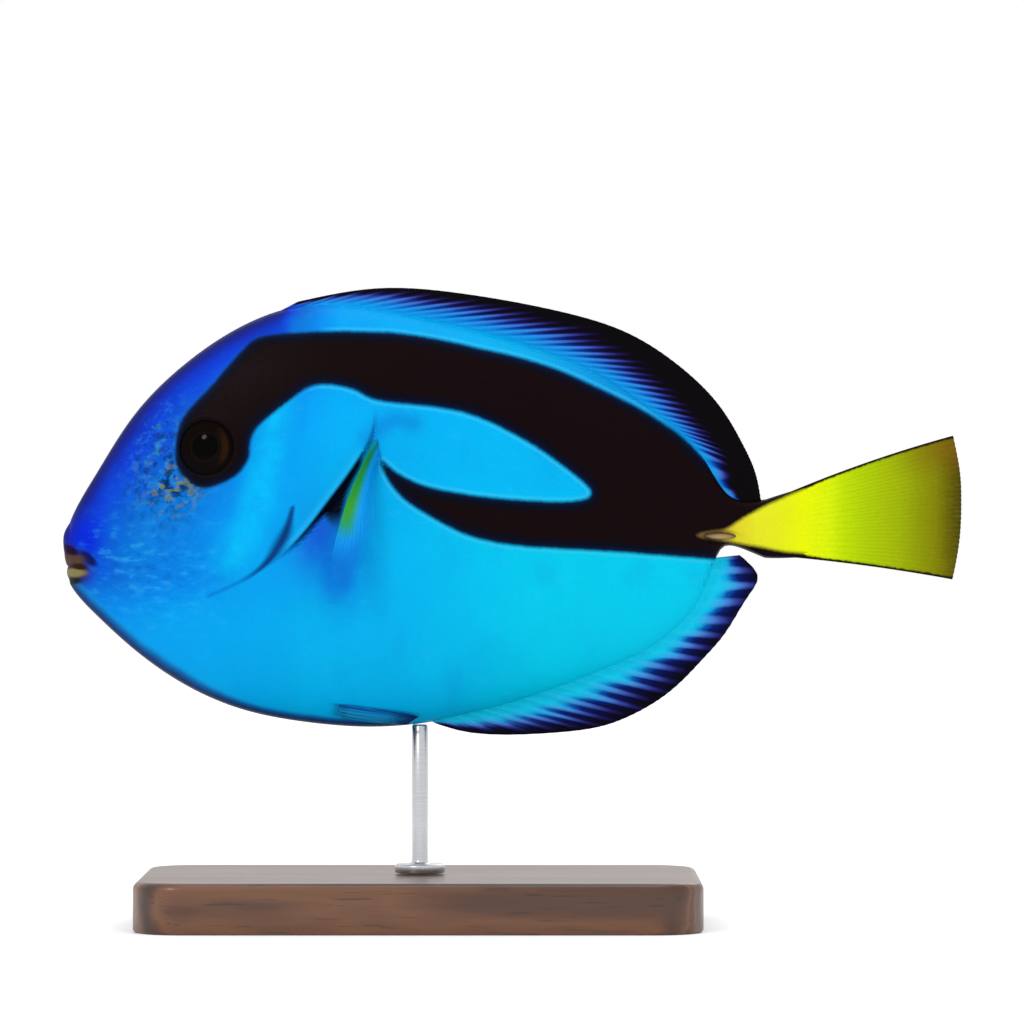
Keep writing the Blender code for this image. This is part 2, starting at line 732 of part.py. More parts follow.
def build_fish():
    head = build_head()
    build_torso()
    stalk = build_stalk()
    upright_fin("dorsal_fin", DORSAL_RAYS, crown, GAP, DORSAL_COUNT, (0.01, 0.05, 0.5), 0.45)
    upright_fin("anal_fin", ANAL_RAYS, belly, -GAP, ANAL_COUNT, (0.01, 0.12, 0.6), 0.45)
    build_tail_fin()
    for side, word in ((-1, "left"), (1, "right")):
        build_pectoral(side, "pectoral_fin_" + word)
        build_pelvic(side, "pelvic_fin_" + word)
        build_eye(side, "eye_" + word, head)
        build_nostrils(side, word, head)
        build_spine(side, "tail_spine_" + word, stalk)


for old in list(bpy.data.objects):
    bpy.data.objects.remove(old, do_unlink=True)
build_fish()
build_base()
build_rod()
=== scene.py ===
import math
import bpy
import numpy as np
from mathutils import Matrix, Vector


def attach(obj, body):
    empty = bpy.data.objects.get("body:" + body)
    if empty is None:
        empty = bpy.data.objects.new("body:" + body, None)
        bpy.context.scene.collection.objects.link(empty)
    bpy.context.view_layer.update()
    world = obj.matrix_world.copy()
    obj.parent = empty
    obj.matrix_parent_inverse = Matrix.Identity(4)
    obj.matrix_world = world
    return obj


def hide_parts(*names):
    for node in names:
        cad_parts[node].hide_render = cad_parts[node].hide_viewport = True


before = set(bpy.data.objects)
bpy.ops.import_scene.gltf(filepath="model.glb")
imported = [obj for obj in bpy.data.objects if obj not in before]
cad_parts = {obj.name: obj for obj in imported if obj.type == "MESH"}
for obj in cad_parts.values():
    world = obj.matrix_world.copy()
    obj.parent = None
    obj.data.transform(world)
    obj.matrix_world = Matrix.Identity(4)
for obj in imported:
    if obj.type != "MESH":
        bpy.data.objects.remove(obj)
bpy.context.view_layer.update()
bpy.context.scene.view_settings.view_transform = "Standard"
rng = np.random.default_rng(7)
print("frame loaded")

# The fish's own scales, in millimetres: back from the snout, side (left is negative) and
# height over the lowest point of the anal fin.
fish = {
    "mm": 0.001,
    "halfLength": 89.8,
    "floor": 38.0,
    "stalkEnd": 140.4,
    "ridgeHalf": 0.9,
    "fullness": 0.56,
    "snoutRound": 3.6,
}

# back, crown height, belly height, height of the widest line, half width
bodyStations = np.array([
    (1.4, 42.3, 30.1, 35.6, 3.9),
    (7.4, 53.0, 23.4, 37.8, 5.7),
    (14.0, 63.2, 17.4, 40.8, 7.7),
    (24.0, 73.4, 10.4, 43.8, 10.1),
    (36.0, 81.4, 5.2, 45.8, 12.1),
    (49.4, 85.6, 2.6, 47.0, 13.3),
    (64.0, 84.8, 1.8, 47.2, 13.5),
    (80.0, 81.4, 3.9, 46.8, 12.3),
    (96.0, 76.8, 8.4, 45.4, 10.1),
    (110.0, 70.4, 13.8, 44.0, 7.7),
    (120.0, 62.9, 19.2, 43.0, 5.8),
    (125.4, 58.2, 24.4, 42.6, 4.7),
    (128.8, 54.0, 30.4, 42.4, 4.0),
    (131.0, 50.3, 36.4, 42.2, 3.6),
    (133.4, 47.5, 38.0, 42.0, 3.3),
    (136.8, 46.4, 37.0, 41.8, 3.0),
    (140.4, 46.6, 35.5, 41.5, 2.8),
])
snoutEdge = np.array([(0.0, 1.4), (0.3, 0.75), (0.66, 0.05), (0.86, 0.4), (1.0, 1.4)])
gillLine = np.array([
    (0.0, 29.0), (0.14, 29.2), (0.27, 31.6), (0.32, 35.6), (0.39, 43.2), (0.443, 47.8),
    (0.52, 52.8), (0.6, 57.6), (0.66, 60.6), (0.75, 62.5), (0.85, 58.6), (1.0, 40.8),
])


# Natural cubic curve through the stations: a piece of third degree between neighbours, with
# slope and bend equal where two pieces meet.
def spline(at, stations, column=1):
    knots = stations[:, 0]
    values = stations[:, column]
    step = np.diff(knots)
    rise = np.diff(values) / step
    size = len(knots)
    matrix = np.zeros((size, size))
    target = np.zeros(size)
    matrix[0, :2] = 2.0, 1.0
    matrix[-1, -2:] = 1.0, 2.0
    target[0] = 3.0 * rise[0]
    target[-1] = 3.0 * rise[-1]
    for row in range(1, size - 1):
        matrix[row, row - 1:row + 2] = step[row], 2.0 * (step[row - 1] + step[row]), step[row - 1]
        target[row] = 3.0 * (step[row] * rise[row - 1] + step[row - 1] * rise[row])
    slope = np.linalg.solve(matrix, target)
    at = np.clip(np.asarray(at, float), knots[0], knots[-1])
    cell = np.clip(np.searchsorted(knots, at) - 1, 0, size - 2)
    part = (at - knots[cell]) / step[cell]
    rest = 1.0 - part
    ends = (1.0 + 2.0 * part) * rest**2 * values[cell] + part**2 * (3.0 - 2.0 * part) * values[cell + 1]
    turns = part * rest**2 * slope[cell] - part**2 * rest * slope[cell + 1]
    return ends + turns * step[cell]


rootedStations = bodyStations.copy()
rootedStations[:, 0] = np.sqrt(rootedStations[:, 0])


def bodyLine(back, column):
    return spline(np.sqrt(np.clip(back, bodyStations[0, 0], None)), rootedStations, column)


# Past the stalk the skin runs on over the root of the tail fin, along these lines.
rootLines = np.array([
    (140.4, 46.6, 35.5), (143.0, 47.5, 35.4), (146.0, 48.5, 35.4), (150.0, 49.7, 35.4), (156.0, 51.4, 35.4),
])


def crown(back):
    return np.where(back > fish["stalkEnd"], spline(back, rootLines, 1), bodyLine(back, 1))


def belly(back):
    return np.where(back > fish["stalkEnd"], spline(back, rootLines, 2), bodyLine(back, 2))


# Soft step from 0 at low to 1 at high, flat at both ends.
def softStep(value, low, high):
    part = np.clip((value - low) / (high - low), 0.0, 1.0)
    return part * part * (3.0 - 2.0 * part)


# Bell curve: 1 at the middle, falling with the square of the distance in half widths.
def bell(value, middle, half):
    return np.exp(-(((value - middle) / half) ** 2))


def heightOf(back, share):
    low = belly(back)
    return low + (crown(back) - low) * share


# Half thickness: an ellipse of the body's half width between crown and belly, on a flat
# ridge, rounded in plan as a quarter circle behind the snout's edge.
def halfWidth(back, height):
    middle = bodyLine(back, 3)
    top = crown(back)
    low = belly(back)
    reach = np.where(height > middle, top - middle, middle - low)
    away = np.clip(np.abs(height - middle) / reach, 0.0, 1.0)
    full = bodyLine(back, 4) - fish["ridgeHalf"]
    share = np.clip((height - low) / (top - low), 0.0, 1.0)
    past = np.clip((back - spline(share, snoutEdge)) / fish["snoutRound"], 0.0, 1.0)
    nose = np.sqrt(np.clip(1.0 - (1.0 - past) ** 2, 0.0, None))
    return (fish["ridgeHalf"] + full * (1.0 - away**2) ** fish["fullness"]) * nose


# Fish millimetres into world metres.
def place(points):
    moved = np.asarray(points, float).reshape(-1, 3) + np.array([-fish["halfLength"], 0.0, fish["floor"]])
    return moved * fish["mm"]


# Unit normals of a grid: the cross product of its two directions' slopes.
def gridNormals(points):
    normal = np.cross(np.gradient(points, axis=0), np.gradient(points, axis=1))
    return normal / np.maximum(np.linalg.norm(normal, axis=2, keepdims=True), 1e-9)


# Point on the left side of the body and the direction outward from it.
def skinAt(back, height):
    back = np.asarray(back, float)
    height = np.asarray(height, float)
    side = halfWidth(back, height)
    along = (halfWidth(back + 0.2, height) - side) / 0.2
    up = (halfWidth(back, height + 0.2) - side) / 0.2
    normal = np.stack([-along, -np.ones_like(side), -up], axis=-1)
    normal /= np.linalg.norm(normal, axis=-1, keepdims=True)
    return np.stack([back, -side, height], axis=-1), normal


# Left side's points or directions as they are, or mirrored to the right.
def onSide(vectors, side):
    return vectors * np.array([1.0, 1.0 if side < 0 else -1.0, 1.0])


# Smooth curve through points: the cubic whose slope at each point is half the chord between
# its neighbours.
def curveThrough(points, steps=10, closed=True):
    points = np.asarray(points, float)
    if closed:
        padded = np.concatenate([points[-1:], points, points[:2]])
    else:
        padded = np.concatenate([points[:1], points, points[-1:]])
    a, b, c, d = padded[:-3], padded[1:-2], padded[2:-1], padded[3:]
    part = np.linspace(0.0, 1.0, steps, endpoint=False)[None, :, None]
    a, b, c, d = (array[:, None, :] for array in (a, b, c, d))
    curve = 0.5 * (2.0 * b + (c - a) * part + (2.0 * a - 5.0 * b + 4.0 * c - d) * part**2
                   + (3.0 * b - a - 3.0 * c + d) * part**3)
    curve = curve.reshape(-1, 2)
    return curve if closed else np.concatenate([curve, points[-1:]])


# Least distance from each point to a line of segments in the side view, and for a closed
# line its sign by counting crossings: inside is positive.
def distanceTo(points, line, closed=True):
    ends = np.roll(line, -1, axis=0) if closed else line[1:]
    starts = line if closed else line[:-1]
    best = np.full(len(points), 1e9)
    inside = np.zeros(len(points), bool)
    for start, end in zip(starts, ends):
        run = end - start
        offset = points - start
        part = np.clip((offset @ run) / max(float(run @ run), 1e-12), 0.0, 1.0)
        gap = offset - part[:, None] * run
        best = np.minimum(best, np.einsum("ij,ij->i", gap, gap))
        if closed and start[1] != end[1]:
            crossing = (start[1] > points[:, 1]) != (end[1] > points[:, 1])
            reach = start[0] + (points[:, 1] - start[1]) * run[0] / run[1]
            inside ^= crossing & (points[:, 0] < reach)
    best = np.sqrt(best)
    return np.where(inside, best, -best) if closed else best


# Mesh from arrays: points in metres, rows of quads, rows of triangles and point attributes.
def makeMesh(name, points, quads, triangles, attributes, paint, replaced):
    faces = [tuple(row) for row in quads.tolist()] + [tuple(row) for row in triangles]
    mesh = bpy.data.meshes.new(name)
    mesh.from_pydata(points.tolist(), [], faces)
    for key, values in attributes.items():
        layer = mesh.attributes.new(key, "FLOAT", "POINT")
        layer.data.foreach_set("value", np.asarray(values, np.float32).ravel())
    mesh.shade_smooth()
    mesh.materials.append(paint.material)
    piece = bpy.data.objects.new(name, mesh)
    bpy.context.scene.collection.objects.link(piece)
    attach(piece, "root")
    if replaced:
        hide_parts(*replaced)
    print(name, "made with", len(faces), "faces")
    return piece


def gridQuads(columns, rows, first=0, flip=False):
    i, j = np.meshgrid(np.arange(columns - 1), np.arange(rows - 1), indexing="ij")
    corner = first + i * rows + j
    quads = np.stack([corner, corner + rows, corner + rows + 1, corner + 1], axis=-1).reshape(-1, 4)
    return quads[:, ::-1] if flip else quads


# Wraps one shader socket, so that a mask is written as a plain sum.
class Signal:
    def __init__(self, paint, socket):
        self.paint = paint
        self.socket = socket

    def maths(self, kind, first, second):
        return self.paint.node("ShaderNodeMath", {"operation": kind}, {0: first, 1: second})

    def __add__(self, other):
        return self.maths("ADD", self, other)

    def __radd__(self, other):
        return self.maths("ADD", other, self)

    def __sub__(self, other):
        return self.maths("SUBTRACT", self, other)

    def __rsub__(self, other):
        return self.maths("SUBTRACT", other, self)

    def __mul__(self, other):
        return self.maths("MULTIPLY", self, other)

    def __rmul__(self, other):
        return self.maths("MULTIPLY", other, self)

    def __truediv__(self, other):
        return self.maths("DIVIDE", self, other)


# A material and the few nodes that its patterns are made of.
class Paint:
    def __init__(self, name, settings):
        self.material = bpy.data.materials.new(name)
        self.material.use_nodes = True
        self.tree = self.material.node_tree
        self.shader = self.tree.nodes["Principled BSDF"]
        for key, value in settings.items():
            self.shader.inputs[key].default_value = value

    def node(self, kind, settings=None, inputs=None, output=0):
        made = self.tree.nodes.new(kind)
        for key, value in (settings or {}).items():
            if key == "stops":
                self.fillRamp(made.color_ramp, value)
            else:
                setattr(made, key, value)
        for key, value in (inputs or {}).items():
            if isinstance(value, Signal):
                self.tree.links.new(value.socket, made.inputs[key])
            else:
                made.inputs[key].default_value = value
        return Signal(self, made.outputs[output])

    def fillRamp(self, ramp, stops):
        while len(ramp.elements) > 2:
            ramp.elements.remove(ramp.elements[-1])
        for index, (spot, colour) in enumerate(stops):
            element = ramp.elements[index] if index < 2 else ramp.elements.new(spot)
            element.position = spot
            element.color = colour

    def field(self, name):
        return self.node("ShaderNodeAttribute", {"attribute_name": name}, output=2)

    def spot(self):
        return self.node("ShaderNodeTexCoord", output=3)

    def stretch(self, vector, scale):
        return self.node("ShaderNodeMapping", {}, {"Vector": vector, "Scale": scale})

    def noise(self, vector, scale, detail=3.0, rough=0.55):
        inputs = {"Vector": vector, "Scale": scale, "Detail": detail, "Roughness": rough}
        return self.node("ShaderNodeTexNoise", {}, inputs)

    def cells(self, vector, scale):
        return self.node("ShaderNodeTexVoronoi", {"feature": "F1"}, {"Vector": vector, "Scale": scale})

    def weave(self, along, reach):
        inputs = {0: self.field("along") * along, 1: self.field("reach") * reach}
        return self.node("ShaderNodeCombineXYZ", {}, inputs)

    def soft(self, value, low, high):
        inputs = {"Value": value, "From Min": low, "From Max": high}
        return self.node("ShaderNodeMapRange", {"interpolation_type": "SMOOTHSTEP"}, inputs)

    def blend(self, share, first, second):
        settings = {"data_type": "RGBA", "clamp_factor": True}
        return self.node("ShaderNodeMix", settings, {0: share, 6: first, 7: second}, output=2)

    def ramp(self, value, low, high, stops):
        inputs = {"Value": value, "From Min": low, "From Max": high}
        share = self.node("ShaderNodeMapRange", {}, inputs)
        placed = [((spot - low) / (high - low), colour) for spot, colour in stops]
        return self.node("ShaderNodeValToRGB", {"stops": placed}, {0: share})

    def bump(self, height, strength, distance):
        inputs = {"Height": height, "Strength": strength, "Distance": distance}
        return self.node("ShaderNodeBump", {}, inputs)

    def set(self, name, signal):
        self.tree.links.new(signal.socket, self.shader.inputs[name])

    # colour made lighter or darker by value, then roughness and relief
    def finish(self, colour, value, rough, height, strength, distance):
        settings = {"Value": value, "Color": colour}
        self.set("Base Color", self.node("ShaderNodeHueSaturation", {}, settings))
        self.set("Roughness", rough)
        self.set("Normal", self.bump(height, strength, distance))


# Screen colour 0 to 255 into the linear colour that the shader uses.
def tint(red, green, blue):
    shares = [channel / 255.0 for channel in (red, green, blue)]
    linear = [(s / 12.92 if s <= 0.04045 else ((s + 0.055) / 1.055) ** 2.4) for s in shares]
    return (*linear, 1.0)


# Where the colours lie, as lines in the side view: back and height of each point.
markings = {
    "mark": [
        (23.0, 55.8), (24.4, 62.8), (30.4, 69.8), (36.4, 76.8), (39.8, 79.2), (47.4, 80.0),
        (57.4, 80.2), (67.4, 79.8), (77.4, 78.2), (83.4, 76.8), (91.4, 75.0), (99.4, 72.4),
        (107.4, 68.8), (115.4, 64.8), (123.4, 59.6), (129.8, 53.6), (136.4, 50.4), (146.0, 51.0),
        (155.0, 54.0), (159.0, 43.0), (155.0, 32.0), (146.0, 33.4), (138.8, 34.6), (135.4, 34.6),
        (123.4, 35.6), (107.4, 36.8), (91.4, 37.8), (81.4, 39.8), (73.4, 43.8), (68.4, 47.2),
        (65.4, 50.8), (64.0, 54.4),
        (67.4, 51.8), (73.4, 49.2), (83.4, 47.4), (95.4, 46.4), (103.4, 46.6), (105.6, 48.4),
        (102.4, 51.8), (93.4, 58.2), (83.4, 63.2), (75.4, 65.2), (63.4, 66.6), (58.4, 68.8),
        (53.4, 69.8), (49.4, 69.2), (45.4, 66.4), (39.8, 61.8), (38.0, 58.8), (37.4, 54.8),
        (34.4, 51.2), (28.4, 49.2), (24.6, 51.6),
    ],
    "wedge": [
        (126.8, 39.8), (129.8, 40.5), (132.4, 40.9), (136.2, 43.2), (139.8, 45.2), (143.3, 46.8),
        (146.8, 48.3), (150.4, 49.7), (154.0, 51.2), (170.0, 57.0), (170.0, 32.6), (153.4, 35.8),
        (149.7, 36.2), (145.4, 36.5), (142.5, 36.9), (139.7, 37.5), (136.4, 38.0), (132.6, 38.7),
        (129.4, 39.1),
    ],
    "front": [
        (0.6, 34.4), (0.2, 38.8), (1.4, 42.4), (3.8, 46.8), (7.4, 53.0), (11.0, 58.8),
        (17.4, 67.4), (25.4, 74.6), (33.4, 80.0), (41.4, 84.0), (49.4, 87.0),
    ],
    "finShade": [
        (59.9, 54.9), (57.6, 52.4), (54.7, 48.2), (52.4, 44.8), (53.4, 42.8), (55.2, 40.2), (55.8, 42.6),
        (57.1, 47.4), (58.5, 50.8), (59.8, 53.3),
    ],
    "crease": [
        (46.4, 45.2), (45.7, 42.2), (44.6, 39.3), (42.9, 36.4), (40.6, 33.7), (37.4, 31.3),
        (33.6, 29.3), (29.6, 27.5),
    ],
    # band of painted light on the cheek behind the eye
    "cheekBand": [(43.6, 66.0), (42.0, 58.0), (40.4, 50.0), (38.4, 43.0), (35.0, 35.6)],
    "slitShade": [(61.6, 58.8), (64.2, 61.4), (66.8, 62.6), (70.2, 62.0)],
    "lateral": [(66.0, 69.0), (78.0, 71.4), (92.0, 68.0), (106.0, 60.6), (118.0, 51.6), (128.0, 44.6)],
}

# How far the marking lines reach, and between which backs or heights they fade.
spans = {
    "chinLight": 16.0,
    "chin": (22.0, 32.0),
    "napeLight": 32.0,
    "nape": (43.0, 58.0),
    "rimGrowth": 0.9,
    "rimThin": (22.0, 42.0),
    "rimEndLift": 8.0,
    "rimEnd": (64.0, 78.0),
    "low": (42.0, 50.0),
    "high": (52.0, 66.0),
    "highBack": (84.0, 112.0),
    "finShade": (39.5, 44.5),
    "creaseFaint": 0.35,
    "creaseFade": (29.0, 35.0),
    "creaseSlope": 0.45,
    # middle and half width of the painted highlight along the gill cover's free edge, as distance behind
    # the gill line
    "coverHighlight": (-0.7, 0.5),
    "slitShadeHalf": 2.0,
    "cheekHalf": 4.0,
}

# Soft spots: back and height of the middle, radius along and up, and the lean, as back for
# each step up and height for each step back.
spots = {
    # The first two spots are painted shade: under the pectoral fin, and between the gill cover and that
    # fin.
    "underFinShade": (55.6, 33.6, 5.6, 8.4, 0.0, 0.0),
    "patch": (51.65, 40.6, 4.6, 7.0, -0.25, 0.0),
    "snout": (5.2, 39.0, 3.6, 4.2, 0.0, 0.0),
    "lips": (1.6, 33.6, 4.3, 3.9, 0.35, 0.0),
    "lipTop": (1.6, 36.8, 2.0, 1.0, 0.0, 0.3),
    "upperLip": (2.2, 34.9, 2.5, 1.3, 0.0, 0.0),
    "lipBack": (5.3, 35.2, 1.5, 1.8, 0.8, 0.0),
    "mouthLine": (3.5, 33.512, 1.9, 0.65, 0.0, 0.12),
    "lowerLip": (2.3, 32.3, 2.9, 0.95, 0.0, 0.0),
    # painted shade under the lower lip
    "chin": (2.1, 30.7, 2.0, 0.8, 0.0, 0.0),
    "speck": (20.0, 53.5, 6.5, 11.0, 0.0, 0.0),
    "underEye": (22.6, 49.6, 5.0, 4.0, 0.0, 0.0),
    "cheek": (17.0, 33.0, 13.0, 9.0, 0.0, 0.0),
}

gill = {
    "rise": 0.45,
    "width": 3.0,
    "edge": 0.12,
    "depth": 0.75,
    "low": (0.36, 0.46),
    "high": (0.66, 0.78),
    "slit": np.array([
        (0.2, 0.3), (0.3, 0.3), (0.4, 0.35), (0.443, 0.5), (0.49, 0.9), (0.515, 1.6), (0.54, 2.1),
        (0.56, 2.1), (0.58, 1.7), (0.605, 1.1), (0.635, 0.5), (0.67, 0.3), (0.9, 0.2),
    ]),
    "dark": (0.4, 0.45, 0.63, 0.665),
    "creaseDepth": 0.4,
    "creaseHalf": 0.4,
    "darkCrease": (0.36, 0.75, 38.6, 3.8),
    "lateralRise": 0.07,
    "lateralHalf": 0.35,
}

mouth = {
    "height": 33.5,
    "share": 0.3,
    "end": 5.8,
    "fade": 2.6,
    "upperRise": 0.1,
    "lowerRise": 0.26,
    "lipAway": 1.45,
    "lipHalf": 0.85,
    "depth": 0.22,
    "half": 0.3,
}

eye = {
    "back": 29.2,
    "height": 57.2,
    "radius": 6.9,
    "depth": 4.0,
    "sink": 2.6,
    "rimRise": 0.32,
    "rimRadius": 6.1,
    "rimHalf": 0.75,
    "bedDepth": 1.1,
    "bedSpan": (4.5, 5.5),
    "domeRise": 0.12,
    "domeHalf": 3.2,
}

# back, height and radius of each nostril, and its section: radius and rise
nostrils = {
    "front": (20.9, 57.0, 0.62),
    "rear": (22.5, 58.3, 0.46),
    "section": np.array([
        (0.0, -0.5), (1.45, -0.3), (1.5, 0.0), (1.25, 0.14), (1.0, 0.16), (0.8, 0.02), (0.62, -0.12),
        (0.35, -0.2), (0.0, -0.22),
    ]),
}

spine = {
    "back": 131.4,
    "height": 39.6,
    "length": 3.4,
    "halfHeight": 0.7,
    "grooveDepth": 0.5,
    "grooveRoom": 0.4,
    "thickness": 0.75,
    "sink": 0.1,
}

markCurve = curveThrough(markings["mark"])
wedgeCurve = curveThrough(markings["wedge"])
creaseCurve = curveThrough(markings["crease"], closed=False)
shadeCurve = curveThrough(markings["slitShade"], closed=False)
lateralCurve = curveThrough(markings["lateral"], closed=False)
frontCurve = curveThrough(markings["front"], closed=False)
cheekCurve = curveThrough(markings["cheekBand"], closed=False)
finShadeCurve = curveThrough(markings["finShade"])


def shareOf(back, height):
    low = belly(back)
    return np.clip((height - low) / (crown(back) - low), 0.0, 1.0)


# Distance behind the gill line, square to it: negative on the gill cover.
def gillDistance(back, height):
    share = shareOf(back, height)
    lower = np.clip(share - 0.01, 0.0, 1.0)
    upper = np.clip(share + 0.01, 0.0, 1.0)
    depth = crown(back) - belly(back)
    lean = (spline(upper, gillLine) - spline(lower, gillLine)) / ((upper - lower) * depth)
    return (back - spline(share, gillLine)) / np.sqrt(1.0 + lean**2)


def lineDistance(back, height, curve):
    points = np.stack([back.ravel(), height.ravel()], axis=1)
    return np.abs(distanceTo(points, curve, closed=False)).reshape(back.shape)


def eyeDistance(back, height):
    return np.hypot(back - eye["back"], height - eye["height"])


def grooveDistance(back, height):
    along = (back - spine["back"]) / (spine["length"] + spine["grooveRoom"])
    across = (height - spine["height"]) / (spine["halfHeight"] + spine["grooveRoom"])
    return np.hypot(along, across)


# Relief of the skin over the plain body: lips as two bell-shaped bands round the mouth groove,
# the gill cover rising to its free edge with the slit sunk behind it, the crease in front of
# it, a rim round the eye, the lateral line and the groove of the tail blade.
def relief(back, height):
    share = shareOf(back, height)
    above = height - mouth["height"]
    near = 1.0 - softStep(back, mouth["fade"], mouth["end"])
    lips = mouth["upperRise"] * bell(above, mouth["lipAway"], mouth["lipHalf"])
    lips = lips + mouth["lowerRise"] * bell(above, -mouth["lipAway"], mouth["lipHalf"])
    rise = near * (lips - mouth["depth"] * bell(above, 0.0, mouth["half"]))
    past = gillDistance(back, height)
    window = softStep(share, *gill["low"]) * (1.0 - softStep(share, *gill["high"]))
    behind = softStep(past, -gill["edge"], gill["edge"])
    cover = gill["rise"] * softStep(past, -gill["width"], 0.0) * (1.0 - behind)
    slitWidth = spline(share, gill["slit"])
    sunk = gill["rise"] * (1.0 - softStep(past, 0.0, gill["width"]))
    sunk = sunk + gill["depth"] * (1.0 - softStep(past, 0.3 * slitWidth, slitWidth + 1.0))
    rise = rise + window * (cover - behind * sunk)
    crease = lineDistance(back, height, creaseCurve)
    rise = rise - gill["creaseDepth"] * bell(crease, 0.0, gill["creaseHalf"]) * (1.0 - behind)
    away = eyeDistance(back, height)
    rise = rise + eye["rimRise"] * bell(away, eye["rimRadius"], eye["rimHalf"])
    rise = rise - eye["bedDepth"] * (1.0 - softStep(away, *eye["bedSpan"]))
    lateral = bell(lineDistance(back, height, lateralCurve), 0.0, gill["lateralHalf"])
    rise = rise + gill["lateralRise"] * lateral
    rise = rise - spine["grooveDepth"] * (1.0 - softStep(grooveDistance(back, height), 0.75, 1.25))
    edge = np.minimum(height - belly(back), crown(back) - height)
    return rise * softStep(edge, 0.0, 1.5)


# Half width of the dark crease: a least width and a bell at mid-length.
def creaseHalf(height):
    least, more, middle, reach = gill["darkCrease"]
    return least + more * bell(height, middle, reach)


# Bell over a leaning oval: one in its middle, falling with the square of the distance in radii.
def oval(back, height, spot):
    middleBack, middleHeight, radiusBack, radiusHeight, backLean, heightLean = spot
    along = back - middleBack
    up = height - middleHeight
    square = ((along + backLean * up) / radiusBack) ** 2 + ((up + heightLean * along) / radiusHeight) ** 2
    return np.exp(-square)


# Signed distances and masks that the colours are made of, at points of the side view.
def markingsAt(back, height):
    shape = back.shape
    points = np.stack([back.ravel(), height.ravel()], axis=1)
    mark = distanceTo(points, markCurve).reshape(shape)
    wedge = distanceTo(points, wedgeCurve).reshape(shape)
    front = np.abs(distanceTo(points, frontCurve, closed=False)).reshape(shape)
    front = front + spans["chinLight"] * (1.0 - softStep(height, *spans["chin"]))
    front = front + spans["napeLight"] * softStep(back, *spans["nape"])
    share = shareOf(back, height)
    past = gillDistance(back, height)
    # Painted shadow: near black in the gill slit behind the gill cover's free edge, over the real sunk
    # slit.
    window = softStep(share, *gill["dark"][:2]) * (1.0 - softStep(share, *gill["dark"][2:]))
    slitWidth = spline(share, gill["slit"])
    behind = softStep(past, -0.25, 0.15)
    slit = window * behind * (1.0 - softStep(past, 0.5 * slitWidth, 1.25 * slitWidth))
    # Painted shadow in the wedge between the gill cover and the pectoral fin's leading edge.
    shadow = distanceTo(points, finShadeCurve).reshape(shape)
    finShade = softStep(shadow, -0.7, 0.5) * behind * softStep(height, *spans["finShade"])
    # Painted shade along the crease in the gill cover, over its real groove, fainter toward its low end.
    crease = spans["creaseSlope"] * lineDistance(back, height, creaseCurve) / creaseHalf(height)
    creaseShare = softStep(height, *spans["creaseFade"])
    creaseShare = spans["creaseFaint"] + (1.0 - spans["creaseFaint"]) * creaseShare
    # Height over the belly line, for the belly's dark edge: partly its own colour and partly painted shade
    # where the body turns under.
    rim = (height - belly(back)) * (1.0 + spans["rimGrowth"] * softStep(back, *spans["rimThin"]))
    fields = {key: oval(back, height, spot) for key, spot in spots.items()}
    # Painted shade between the gill cover and the pectoral fin, only behind the gill line.
    fields["patch"] = fields["patch"] * softStep(past, -0.2, 0.6)
    fields.update({
        "mark": mark,
        "wedge": wedge,
        "front": front,
        "rim": rim + spans["rimEndLift"] * softStep(back, *spans["rimEnd"]),
        "low": 1.0 - softStep(height, *spans["low"]),
        "high": softStep(height, *spans["high"]) * softStep(back, *spans["highBack"]),
        "slit": np.maximum(slit, finShade),
        "crease": (1.0 - np.clip(crease, 0.0, 1.5)) * creaseShare,
        # Painted highlight along the gill cover's free edge.
        "coverEdgeHighlight": bell(past, *spans["coverHighlight"]) * window,
        "shade": bell(lineDistance(back, height, shadeCurve), 0.0, spans["slitShadeHalf"]),
        # Painted light on the cheek behind the eye.
        "cheekHighlight": bell(lineDistance(back, height, cheekCurve), 0.0, spans["cheekHalf"]),
    })
    return fields


skin = {
    "headColumns": 176,
    "bodyColumns": 146,
    "rows": 150,
    "rowEvenness": 0.5,
    "mouthGather": 0.5,
    "mouthHalf": 0.13,
    "headSpread": 1.22,
    "end": 151.0,
    "taperStart": 138.0,
    "taperPower": 1.4,
    "crownRound": 0.3,
    "bodySpread": 1.06,
    "gillStep": 0.15,
}


# Rows from belly to crown, part even and part sine, pulled together at the mouth.
def shareRows(count):
    even = np.linspace(0.0, 1.0, count)
    waved = 0.5 - 0.5 * np.cos(np.pi * even)
    shares = skin["rowEvenness"] * even + (1.0 - skin["rowEvenness"]) * waved
    pull = skin["mouthGather"] * (shares - mouth["share"]) * bell(shares, mouth["share"], skin["mouthHalf"])
    shares = shares - pull
    shares[0], shares[-1] = 0.0, 1.0
    return shares


# Body surface over grids of back and height: the half width out from the middle plane,
# thinned to nothing over the tail fin's root.
def skinGrid(back, height):
    taper = np.clip((back - skin["taperStart"]) / (skin["end"] - skin["taperStart"]), 0.0, 1.0)
    side = halfWidth(back, height) * (1.0 - taper**2) ** skin["taperPower"]
    points = np.stack([back, -side, height], axis=2)
    return points, gridNormals(points)


